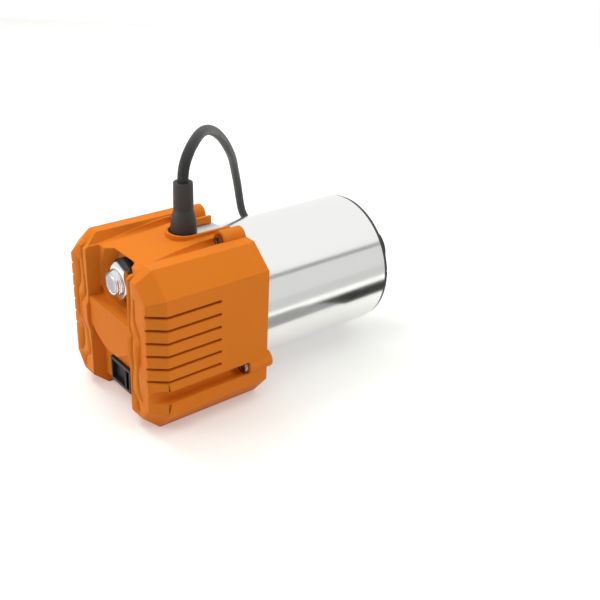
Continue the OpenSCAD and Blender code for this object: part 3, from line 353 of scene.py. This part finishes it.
# %% A copy of a CAD node with rounded edges
STRIP_SHARE = 0.7
IN_LINE = -0.9
LEAST_ROUNDING = 0.00008


def joined(node):
    """The node's mesh with its loose triangles joined and its flat ones dissolved into whole faces."""
    sheet = bmesh.new()
    sheet.from_mesh(nodes[node].data)
    bmesh.ops.remove_doubles(sheet, verts=sheet.verts, dist=2e-6)
    bmesh.ops.dissolve_limit(sheet, angle_limit=math.radians(0.6), verts=sheet.verts, edges=sheet.edges)
    sheet.verts.index_update()
    mesh = bpy.data.meshes.new(node + "_joined")
    mesh.from_pydata([v.co[:] for v in sheet.verts], [], [[v.index for v in f.verts] for f in sheet.faces])
    sheet.free()
    return mesh


def room_beside(edge, share=0.2):
    """A share of how far the edges that meet this one reach to its side, except those that run on in line.
    Narrow faces beside the edge limit it too: area / perimeter is about half the width of a long strip."""
    room = share * edge.calc_length()
    for face in edge.link_faces:
        room = min(room, STRIP_SHARE * face.calc_area() / face.calc_perimeter())
    for corner in edge.verts:
        line = (edge.other_vert(corner).co - corner.co).normalized()
        for other in corner.link_edges:
            reach = other.other_vert(corner).co - corner.co
            if other is not edge and reach.normalized().dot(line) > IN_LINE:
                room = min(room, share * reach.cross(line).length)
    return room


def round_edges(piece, width, steps=2, angle=28):
    """Bevel of the given width in millimetres on edges over the angle, narrower where there is less room."""
    sheet = bmesh.new()
    sheet.from_mesh(piece.data)
    bmesh.ops.triangulate(sheet, faces=[face for face in sheet.faces if len(face.verts) > 4])
    width *= 0.001
    bends = [edge.calc_face_angle(0.0) > math.radians(angle) for edge in sheet.edges]
    rooms = np.array([room_beside(edge) if bend else 0.0 for edge, bend in zip(sheet.edges, bends)])
    rooms[rooms < LEAST_ROUNDING] = 0
    share = sheet.edges.layers.float.new("bevel_weight_edge")
    for edge, room in zip(sheet.edges, np.minimum(rooms, width) / width):
        edge[share] = room
    sheet.to_mesh(piece.data)
    sheet.free()
    bevel = piece.modifiers.new("Rounded edges", "BEVEL")
    bevel.limit_method = "WEIGHT"
    bevel.use_clamp_overlap = False
    bevel.width = width
    bevel.segments = steps
    bevel.harden_normals = True


def softened(node, name, width, body="motor", steps=2):
    """Copy of a CAD node with rounded edges, which stands for the node."""
    piece = finish_mesh(name, joined(node), 35, body)
    round_edges(piece, width, steps)
    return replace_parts(piece, node)


# %% [markdown]
# ## The cover and the lines engraved in its wings
#
# Thin lines run down the rear faces of both wings and bend round the bumps beside the band. A mould leaves
# such a line as a shallow round groove. A thin tube is laid along the line, half sunk into the surface, and
# taken away from the cover. A ray shot at the cover from behind finds the surface, so the groove is equally
# deep on the bump and beside it.

# %% Lay the lines on the cover and cut them
GROOVE = 0.42
BEHIND = -90.0
line_inner = [(-24.4, 40.8), (-24.7, 27.1), (-22.9, 12.5), (-27.3, 6.5), (-27.1, -5.8), (-24.4, -11.5),
              (-22.5, -25.2), (-28.8, -29.5), (-29.2, -36)]
line_outer = [(-28.5, 30.4), (-28.2, 18.0), (-32.6, 11.5), (-32.3, -3.1), (-29.4, -12.5), (-29.6, -22.0),
              (-33.0, -27.5)]


def on_surface(target, line, gap=1.5):
    """Points about a gap apart along a polyline in (y, z), each at the x where a ray along +X meets it."""
    corners = rounded(np.array(line), 2.0, 4)
    far = np.concatenate([[0], np.cumsum(np.linalg.norm(np.diff(corners, axis=0), axis=1))])
    steps = np.linspace(0, far[-1], int(far[-1] / gap) + 1)
    y, z = (np.interp(steps, far, corners[:, i]) for i in (0, 1))
    starts = to_scene(np.stack([np.full_like(y, BEHIND), y, z], -1))
    hits = [target.ray_cast(Vector(start), Vector((1, 0, 0)))[1] for start in starts]
    return np.array(hits) * 1000 + [MIDDLE, 0, -AXIS_HEIGHT]


cover = finish_mesh("rear_cover_shell", joined("rear_cover"), 35, "motor")
bpy.context.view_layer.update()
cutters = [tube("groove_cutter", on_surface(cover, [(side * y, z) for y, z in line]), GROOVE, sides=8)
           for line in (line_inner, line_outer) for side in (1, -1)]
for cutter in cutters:
    cut = cover.modifiers.new("Engraved line", "BOOLEAN")
    cut.object = cutter
    cut.solver = "EXACT"
cut_mesh = bpy.data.meshes.new_from_object(cover.evaluated_get(bpy.context.evaluated_depsgraph_get()))
cover.modifiers.clear()
cover.data = cut_mesh
for cutter in cutters:
    bpy.data.objects.remove(cutter)
round_edges(cover, 0.4, 3)
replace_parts(cover, "rear_cover")
print("Cover faces before the bevel:", len(cover.data.polygons))

# %% [markdown]
# ## The clamping tube and its ring
#
# The tube is the motor's bright middle. Turning it from a profile with tiny chamfers at both ends gives a
# true round outline, and the chamfers draw the fine bright line that a cut tube shows.

# %% Turn the tube
TUBE_R, TUBE_WALL, TUBE_START, TUBE_END = 40.0, 2.0, 2.0, 93.5
c = 0.35
tube_profile = [[TUBE_START, TUBE_R - TUBE_WALL + c], [TUBE_START, TUBE_R - c], [TUBE_START + c, TUBE_R],
                [TUBE_END - c, TUBE_R], [TUBE_END, TUBE_R - c], [TUBE_END, TUBE_R - TUBE_WALL + c],
                [TUBE_END - c, TUBE_R - TUBE_WALL], [TUBE_START + c, TUBE_R - TUBE_WALL]]
tube_skin = turned("clamping_tube", tube_profile, sides=240, along=True, sharp=30)
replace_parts(tube_skin, "body_tube")
front_ring = softened("front_ring", "front_ring_cap", 0.25)

# %% [markdown]
# ## Button, switch, screws and nose
#
# These small parts keep their CAD shapes with rounded edges. Only the barrel of the button gets a new skin,
# because its thread is a real helix: the radius of the surface rises and falls once for every pitch along
# the axis.

# %% Small parts
small = {
    "button_body": ("button_flange", 0.25, "motor"),
    "button_nut": ("button_hex_nut", 0.25, "motor"),
    "button_cap": ("button_plunger", 0.2, "button"),
    "switch_frame": ("switch_surround", 0.35, "motor"),
    "switch_rocker": ("switch_paddle", 0.35, "rocker"),
    "cover_screws": ("cover_screw_heads", 0.3, "motor"),
    "tube_screws": ("tube_screw_heads", 0.2, "motor"),
    "rear_frame": ("rear_frame_casting", 0.3, "motor"),
    "front_housing": ("front_housing_casting", 0.25, "motor"),
    "nose_plate": ("nose_plate_ring", 0.2, "motor"),
    "nose_screws": ("nose_screw_heads", 0.12, "motor"),
    "spindle_shaft": ("spindle", 0.2, "spindle"),
    "collet": ("collet_jaws", 0.12, "collet_body"),
    "collet_nut": ("collet_nut_shell", 0.3, "nut"),
}
parts = {node: softened(node, name, width, body) for node, (name, width, body) in small.items()}
print("Softened copies:", len(parts) + 2)

# %% The threaded barrel of the button
BUTTON_Z, THREAD_R, PITCH, DEPTH, CAP_R = 26.5, 7.0, 1.0, 0.45, 4.8
front, back = ((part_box("button_barrel")[i][0]) * 1000 + MIDDLE for i in (0, 1))
x = np.arange(front + 0.7, back, PITCH / 8)
a = np.arange(64) * 2 * np.pi / 64
height = np.abs((x[:, None] / PITCH - a / (2 * np.pi)) % 1 - 0.5) * 2
lead_in = np.clip((x - front - 0.7) / 0.8, 0, 1)[:, None]
socket_r, socket_depth = CAP_R + 0.15, 8
rows = [[front + socket_depth, 0.2], [front + socket_depth, socket_r], [front + 0.15, socket_r],
        [front, CAP_R + 0.3], [front, THREAD_R - 0.7], [front + 0.3, THREAD_R - 0.45]]
rows_x = np.concatenate([[r[0] for r in rows], x, [back, back]])
rows_r = np.concatenate([np.repeat([[r[1]] for r in rows], 64, 1), THREAD_R - DEPTH * (1 - height * lead_in),
                         np.full((1, 64), THREAD_R - 0.6), np.full((1, 64), 0.2)])
grid = np.stack([rows_x[:, None] + 0 * a, rows_r * np.cos(a), BUTTON_Z + rows_r * np.sin(a)], -1)
barrel = skin("button_threaded_barrel", grid, sharp=50)
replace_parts(barrel, "button_barrel")
print("Barrel from x =", round(front, 2), "to", round(back, 2))

# %% [markdown]
# ## Finishes: shared node groups
#
# Moulded plastic and rubber share one look: a fine spark-eroded grain, a faint drift of tone, and a
# roughness that wanders a little. Metal parts share another: fine rings left by the lathe. Each effect is
# one node group with named inputs, so a material only sets its own numbers. Groups hand out colours,
# roughness and heights, never shaders.

# %% Helpers to build node trees
def node(tree, kind, inputs=(), **settings):
    """New shader node. inputs maps a socket's name or number to a value or to the output to link it to."""
    made = tree.nodes.new("ShaderNode" + kind)
    made.location = (len(tree.nodes) % 6 * 230 - 700, -(len(tree.nodes) // 6) * 280)
    for key, value in settings.items():
        setattr(made, key, value)
    for key, value in dict(inputs).items():
        if isinstance(value, bpy.types.NodeSocket):
            tree.links.new(value, made.inputs[key])
        else:
            made.inputs[key].default_value = value
    return made


def math_node(tree, operation, *values):
    """Output of a Math node on one to three values or sockets."""
    return node(tree, "Math", dict(enumerate(values)), operation=operation).outputs[0]


def new_group(name, inputs, outputs):
    """Empty node group with float and colour sockets: a list gives a colour, a number a float."""
    group = bpy.data.node_groups.new(name, "ShaderNodeTree")
    for label, value in inputs.items():
        colour = isinstance(value, (tuple, list))
        kind = "NodeSocketColor" if colour else "NodeSocketFloat"
        socket = group.interface.new_socket(label, in_out="INPUT", socket_type=kind)
        socket.default_value = (*value, 1.0) if colour else value
    for label, kind in outputs.items():
        group.interface.new_socket(label, in_out="OUTPUT", socket_type="NodeSocket" + kind)
    return group, group.nodes.new("NodeGroupInput"), group.nodes.new("NodeGroupOutput")


def mixed(tree, amount, one, two, blend="MIX"):
    """Colour output of a Mix node: from one to two by the amount."""
    mix = node(tree, "Mix", data_type="RGBA", blend_type=blend, clamp_factor=True)
    for socket, value in zip((mix.inputs[0], mix.inputs[6], mix.inputs[7]), (amount, one, two)):
        if isinstance(value, bpy.types.NodeSocket):
            tree.links.new(value, socket)
        else:
            socket.default_value = value if isinstance(value, (int, float)) else (*value, 1.0)
    return mix.outputs[2]


def remap(tree, value, low, high, to_low, to_high):
    """Output of a Map Range node."""
    return node(tree, "MapRange", {0: value, 1: low, 2: high, 3: to_low, 4: to_high}).outputs[0]


def shaded(tree, colour, drift, pattern):
    """The colour made darker by drift times the pattern."""
    light = math_node(tree, "SUBTRACT", 1.0, math_node(tree, "MULTIPLY", drift, pattern))
    grey = node(tree, "CombineColor", {0: light, 1: light, 2: light}).outputs[0]
    return mixed(tree, 1.0, colour, grey, "MULTIPLY")


def swung(tree, middle, pattern, swing):
    """The middle value plus swing times what the pattern is above one half."""
    return math_node(tree, "MULTIPLY_ADD", math_node(tree, "SUBTRACT", pattern, 0.5), swing, middle)


# %% Moulded grain
grain, give, take = new_group(
    "Moulded grain", {"Colour": (0.5, 0.5, 0.5), "Drift": 0.06, "Roughness": 0.5, "Grain per metre": 2500.0},
    {"Colour": "Color", "Roughness": "Float", "Height": "Float"})
place = node(grain, "TexCoord").outputs["Object"]
cloud = node(grain, "TexNoise", {"Vector": place, "Scale": 34.0, "Detail": 3.0, "Roughness": 0.55}).outputs[0]
fineness = give.outputs["Grain per metre"]
speck = node(grain, "TexNoise", {"Vector": place, "Scale": fineness, "Detail": 2.0}).outputs[0]
wander = swung(grain, give.outputs["Roughness"], cloud, 0.16)
grain.links.new(shaded(grain, give.outputs["Colour"], give.outputs["Drift"], cloud), take.inputs["Colour"])
grain.links.new(swung(grain, wander, speck, 0.12), take.inputs["Roughness"])
grain.links.new(speck, take.inputs["Height"])

# %% Rings left by the lathe
lathe, give, take = new_group(
    "Lathe rings", {"Colour": (0.6, 0.6, 0.6), "Drift": 0.1, "Roughness": 0.3, "Rings per metre": 3000.0},
    {"Colour": "Color", "Roughness": "Float", "Height": "Float"})
place = node(lathe, "TexCoord").outputs["Object"]
about = node(lathe, "Mapping", {"Vector": place, "Location": (0, 0, -AXIS_HEIGHT * 0.001)}).outputs[0]
split = node(lathe, "SeparateXYZ", {0: about})
squares = [math_node(lathe, "POWER", split.outputs[i], 2.0) for i in (1, 2)]
reach = math_node(lathe, "SQRT", math_node(lathe, "ADD", *squares))
travel = math_node(lathe, "ADD", reach, split.outputs[0])
track = math_node(lathe, "MULTIPLY", travel, give.outputs["Rings per metre"])
lines = node(lathe, "TexNoise", {"W": track, "Scale": 1.0, "Detail": 4.0, "Roughness": 0.7},
             noise_dimensions="1D").outputs[0]
smear = node(lathe, "TexNoise", {"Vector": place, "Scale": 26.0, "Detail": 4.0, "Roughness": 0.6}).outputs[0]
both = math_node(lathe, "MULTIPLY", math_node(lathe, "ADD", lines, smear), 0.5)
lathe.links.new(shaded(lathe, give.outputs["Colour"], give.outputs["Drift"], both), take.inputs["Colour"])
lathe.links.new(swung(lathe, give.outputs["Roughness"], both, 0.22), take.inputs["Roughness"])
lathe.links.new(lines, take.inputs["Height"])
print("Node groups:", [g.name for g in bpy.data.node_groups])

# %% [markdown]
# ## Finishes: the materials
#
# Each material is a Principled shader with one of the groups in front of it. Only what varies over the
# surface is linked; whatever is the same all over, such as how metallic it is, is typed into the shader's
# own socket.

# %% A material with a group in front of its shader
def finish(name, group, colour, roughness, drift, pattern, bump=0.0, depth=0.00002, soft=0.0, **sockets):
    """Material: the group gives the Base Color, the Roughness and, through a Bump node, the Normal of a
    Principled shader. With soft, light also turns round every edge, as if it had that radius in mm."""
    material = bpy.data.materials.new(name)
    material.use_nodes = True
    tree = material.node_tree
    shader = tree.nodes["Principled BSDF"]
    look = tree.nodes.new("ShaderNodeGroup")
    look.node_tree = group
    look.location = (-500, 200)
    look.inputs["Colour"].default_value = (*colour, 1.0)
    look.inputs["Drift"].default_value = drift
    look.inputs["Roughness"].default_value = roughness
    look.inputs[3].default_value = pattern
    tree.links.new(look.outputs["Colour"], shader.inputs["Base Color"])
    tree.links.new(look.outputs["Roughness"], shader.inputs["Roughness"])
    if bump:
        height = look.outputs["Height"]
        relief_node = node(tree, "Bump", {"Height": height, "Strength": bump, "Distance": depth})
        tree.links.new(relief_node.outputs[0], shader.inputs["Normal"])
        if soft:
            rounding = node(tree, "Bevel", {"Radius": soft * 0.001}, samples=6)
            tree.links.new(rounding.outputs[0], relief_node.inputs["Normal"])
    for socket, value in sockets.items():
        shader.inputs[socket.replace("_", " ")].default_value = value
    return material


METAL = {"Metallic": 1.0}
finishes = {
    "cover_plastic": finish("Orange moulded plastic", grain, (0.72, 0.195, 0.016), 0.55, 0.06, 2200, 0.25,
                            soft=0.9, Specular_IOR_Level=0.08),
    "boot_rubber": finish("Black sleeve rubber", grain, (0.028, 0.028, 0.029), 0.52, 0.2, 2600, 0.3),
    "cord_rubber": finish("Black lead rubber", grain, (0.028, 0.028, 0.029), 0.5, 0.25, 3000, 0.3,
                          Specular_IOR_Level=0.3),
    "plug_rubber": finish("Black plug rubber", grain, (0.022, 0.022, 0.023), 0.5, 0.2, 2400, 0.35),
    "tie_plastic": finish("Black woven strap", grain, (0.02, 0.02, 0.021), 0.75, 0.3, 1400, 0.8, 0.00005),
    "switch_body": finish("Black switch plastic", grain, (0.012, 0.012, 0.013), 0.4, 0.1, 3000, 0.1,
                          Specular_IOR_Level=0.3),
    "switch_black": finish("Black paddle plastic", grain, (0.010, 0.012, 0.014), 0.28, 0.1, 3000, 0.08,
                           Specular_IOR_Level=0.35),
    "switch_grey": finish("Dark surround plastic", grain, (0.020, 0.021, 0.023), 0.4, 0.1, 2800, 0.15,
                          Specular_IOR_Level=0.35),
    "ring_black": finish("Black ring paint", grain, (0.03, 0.031, 0.032), 0.4, 0.1, 2000, 0.2),
    "fan_black": finish("Black fan plastic", grain, (0.02, 0.02, 0.022), 0.5, 0.1, 2400, 0.2),
    "board_green": finish("Green board varnish", grain, (0.02, 0.16, 0.06), 0.35, 0.4, 900, 0.2),
    "board_parts": finish("Blue capacitor sleeve", grain, (0.03, 0.04, 0.12), 0.35, 0.3, 1500, 0.1),
    "holder_brown": finish("Brown holder resin", grain, (0.10, 0.045, 0.02), 0.55, 0.2, 1800, 0.3),
    "carbon": finish("Brush carbon", grain, (0.03, 0.03, 0.032), 0.6, 0.3, 3500, 0.5),
    "copper": finish("Varnished copper wire", lathe, (0.50, 0.17, 0.06), 0.35, 0.5, 1500, 0.8, 0.0002,
                     **METAL),
    "lamination": finish("Stacked iron sheets", lathe, (0.30, 0.30, 0.31), 0.45, 0.5, 2000, 0.6, 0.0001,
                         **METAL),
    "tube_metal": finish("Satin tube metal", lathe, (0.90, 0.90, 0.89), 0.17, 0.05, 4200, 0.10, **METAL),
    "frame_aluminium": finish("Grey cast aluminium", grain, (0.64, 0.66, 0.70), 0.5, 0.12, 1300, 0.5, 0.00005,
                              Metallic=0.15),
    "housing_aluminium": finish("Turned aluminium", lathe, (0.62, 0.62, 0.63), 0.34, 0.15, 2600, 0.3,
                                **METAL),
    "screw_steel": finish("Bronzed screw steel", lathe, (0.42, 0.33, 0.25), 0.25, 0.3, 2500, 0.2, **METAL),
    "black_screws": finish("Black screw steel", lathe, (0.30, 0.30, 0.31), 0.3, 0.3, 2500, 0.2, **METAL),
    "bright_steel": finish("Bright screw steel", lathe, (0.62, 0.62, 0.61), 0.22, 0.2, 2500, 0.1, **METAL),
    "button_chrome": finish("Chromed brass", lathe, (0.80, 0.80, 0.81), 0.14, 0.1, 3000, 0.05, **METAL),
    "satin_chrome": finish("Satin chromed brass", lathe, (0.66, 0.66, 0.68), 0.42, 0.05, 3000, 0.05, **METAL),
    "bearing_steel": finish("Ground bearing steel", lathe, (0.62, 0.62, 0.63), 0.18, 0.1, 4000, 0.1, **METAL),
    "shaft_steel": finish("Ground shaft steel", lathe, (0.55, 0.55, 0.55), 0.24, 0.15, 3600, 0.15, **METAL),
    "nut_black": finish("Blackened nut steel", lathe, (0.035, 0.034, 0.037), 0.3, 0.3, 3000, 0.3,
                        Metallic=0.6),
    "pin_brass": finish("Nickelled pin brass", grain, (0.66, 0.62, 0.52), 0.2, 0.1, 2500, 0.05, **METAL),
}
print("Materials:", len(finishes))

# %% Give every piece its finish
slot_of = {row["node"]: row["material_slot"] for row in frame["record"]["subparts"]}


def dress(piece, slot_name, look=None):
    """Puts a slot's material, or another look, on the object and not on its mesh.
    So the mesh of a CAD node stays as it is."""
    if not piece.data.materials:
        piece.data.materials.append(None)
    for place_of in piece.material_slots:
        place_of.link = "OBJECT"
        place_of.material = finishes[look or slot_name]


for name, cad_piece in nodes.items():
    dress(cad_piece, slot_of[name])
for piece in (*parts.values(), cover, tube_skin, front_ring, relief, strap, plug, lead, barrel):
    dress(piece, slot_of[piece["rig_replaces"][0]])
dress(parts["tube_screws"], "screw_steel", "bright_steel")
dress(parts["button_cap"], "button_chrome", "satin_chrome")
for pin in pins:
    dress(pin, "pin_brass")

# %% [markdown]
# ## The studio
#
# A white table in a white room, one broad soft lamp above, and three small ones behind, to the left and to
# the right. The camera and shiny metal see the room as plain white, while matt surfaces get a gentler light
# from it, so that colours come out as they are mixed. Metal only looks like metal when it has something
# dark to mirror: grey and dark cards stand and lie round the motor, seen by reflections alone. Two small
# cards beside the tube are painted shadow: in its reflection they stand for the floor's shade there and,
# the darker one, for black wrench handles that are not in the scene. The table ends near the top of the
# picture, beyond the lamps' reach.

# %% Table and room
TABLE_TOP = -0.0002
PAPER_GLOW = 0.27
ROOM_ON_MATT, ROOM_SEEN = 0.32, 1.0


def flat_sheet(name, corners, material):
    """One four-sided face in scene metres."""
    mesh = bpy.data.meshes.new(name)
    mesh.from_pydata(corners, [], [(0, 1, 2, 3)])
    mesh.materials.append(material)
    sheet = bpy.data.objects.new(name, mesh)
    bpy.context.scene.collection.objects.link(sheet)
    return sheet


paper = bpy.data.materials.new("White table paper")
paper.use_nodes = True
tree = paper.node_tree
shader = tree.nodes["Principled BSDF"]
shader.inputs["Base Color"].default_value = (0.80, 0.80, 0.80, 1)
shader.inputs["Roughness"].default_value = 0.9
shader.inputs["Specular IOR Level"].default_value = 0.1
rays = node(tree, "LightPath")
seen = math_node(tree, "MAXIMUM", rays.outputs["Is Camera Ray"], rays.outputs["Is Glossy Ray"])
shader.inputs["Emission Color"].default_value = (1, 1, 1, 1)
tree.links.new(math_node(tree, "MULTIPLY", seen, PAPER_GLOW), shader.inputs["Emission Strength"])
table_corners = [(-4, -4), (2.6, -4), (2.6, -0.95), (-1.5, 2.62)]
flat_sheet("studio_floor", [(x, y, TABLE_TOP) for x, y in table_corners], paper)

room = bpy.data.worlds.new("White room")
bpy.context.scene.world = room
room.use_nodes = True
tree = room.node_tree
rays = node(tree, "LightPath")
kinds = [rays.outputs["Is " + kind + " Ray"] for kind in ("Camera", "Glossy", "Transmission")]
seen = math_node(tree, "MAXIMUM", kinds[0], math_node(tree, "MAXIMUM", kinds[1], kinds[2]))
tree.nodes["Background"].inputs["Color"].default_value = (1, 1, 1, 1)
strength = remap(tree, seen, 0.0, 1.0, ROOM_ON_MATT, ROOM_SEEN)
tree.links.new(strength, tree.nodes["Background"].inputs["Strength"])

# %% Reflection cards
def card(name, corners, brightness):
    """Sheet of even brightness that only shiny surfaces see."""
    grey = bpy.data.materials.new(name)
    grey.use_nodes = True
    shader = grey.node_tree.nodes["Principled BSDF"]
    shader.inputs["Base Color"].default_value = (0, 0, 0, 1)
    shader.inputs["Specular IOR Level"].default_value = 0.0
    shader.inputs["Emission Color"].default_value = (1, 1, 1, 1)
    shader.inputs["Emission Strength"].default_value = brightness
    sheet = flat_sheet(name, corners, grey)
    for ray in ("camera", "diffuse", "shadow", "transmission", "volume_scatter"):
        setattr(sheet, "visible_" + ray, False)


def table_card(name, x, y, z, brightness):
    """Card that lies flat, from the first to the second x and y."""
    card(name, [(x[0], y[0], z), (x[1], y[0], z), (x[1], y[1], z), (x[0], y[1], z)], brightness)


def wall_card(name, x, y, z, brightness):
    """Card that stands across the view, from the first to the second x and z."""
    card(name, [(x[0], y, z[0]), (x[1], y, z[0]), (x[1], y, z[1]), (x[0], y, z[1])], brightness)


wall_card("grey_wall_card", (-0.8, 2.6), -0.82, (0.0, 0.5), 0.76)
wall_card("dark_strip_card", (-0.8, 2.6), -0.8, (0.53, 0.66), 0.25)
table_card("grey_table_card", (-0.05, 2.6), (-0.82, -0.16), 0.0006, 0.66)
# Painted shadow: these two cards put the floor's shade beside the tube into the tube's reflection; the darker
# one also stands for black wrench handles that are not in the scene.
table_card("painted_shadow_card", (0.0, 0.07), (-0.125, -0.07), 0.0008, 0.35)
table_card("painted_shadow_and_wrench_card", (0.07, 0.16), (-0.112, -0.064), 0.001, 0.02)
table_card("dark_left_card", (-0.26, -0.13), (0.06, 0.17), 0.001, 0.3)

# %% Lamps
def softbox(name, place, aim, width, depth, power, colour=(1, 1, 1), mirrored=False):
    """Rectangular area lamp that faces a point. Shiny surfaces mirror it only when told to."""
    lamp = bpy.data.lights.new(name, "AREA")
    lamp.shape = "RECTANGLE"
    lamp.size, lamp.size_y = width, depth
    lamp.energy = power
    lamp.color = colour
    holder = bpy.data.objects.new(name, lamp)
    holder.visible_glossy = mirrored
    bpy.context.scene.collection.objects.link(holder)
    back = Vector(place) - Vector(aim)
    holder.matrix_world = Matrix.Translation(place) @ back.to_track_quat("Z", "Y").to_matrix().to_4x4()


softbox("Broad overhead lamp", (0.4, 0.1, 1.1), (0.4, 0.1, 0), 2.4, 1.6, 14, (0.98, 1.02, 0.92))
softbox("Key lamp", (-0.1, 0.6, 0.9), (0, 0, 0.04), 0.5, 0.5, 4.5)
softbox("Left lamp", (-0.9, 0.45, 0.4), (0, 0, 0.05), 0.5, 0.5, 3.2, (1, 0.92, 0.85), True)
softbox("Right lamp", (0.75, -0.95, 0.45), (0, 0, 0.05), 0.5, 0.5, 4, (1, 0.92, 0.85))

# %% Finish
bpy.context.scene.view_settings.view_transform = "Standard"
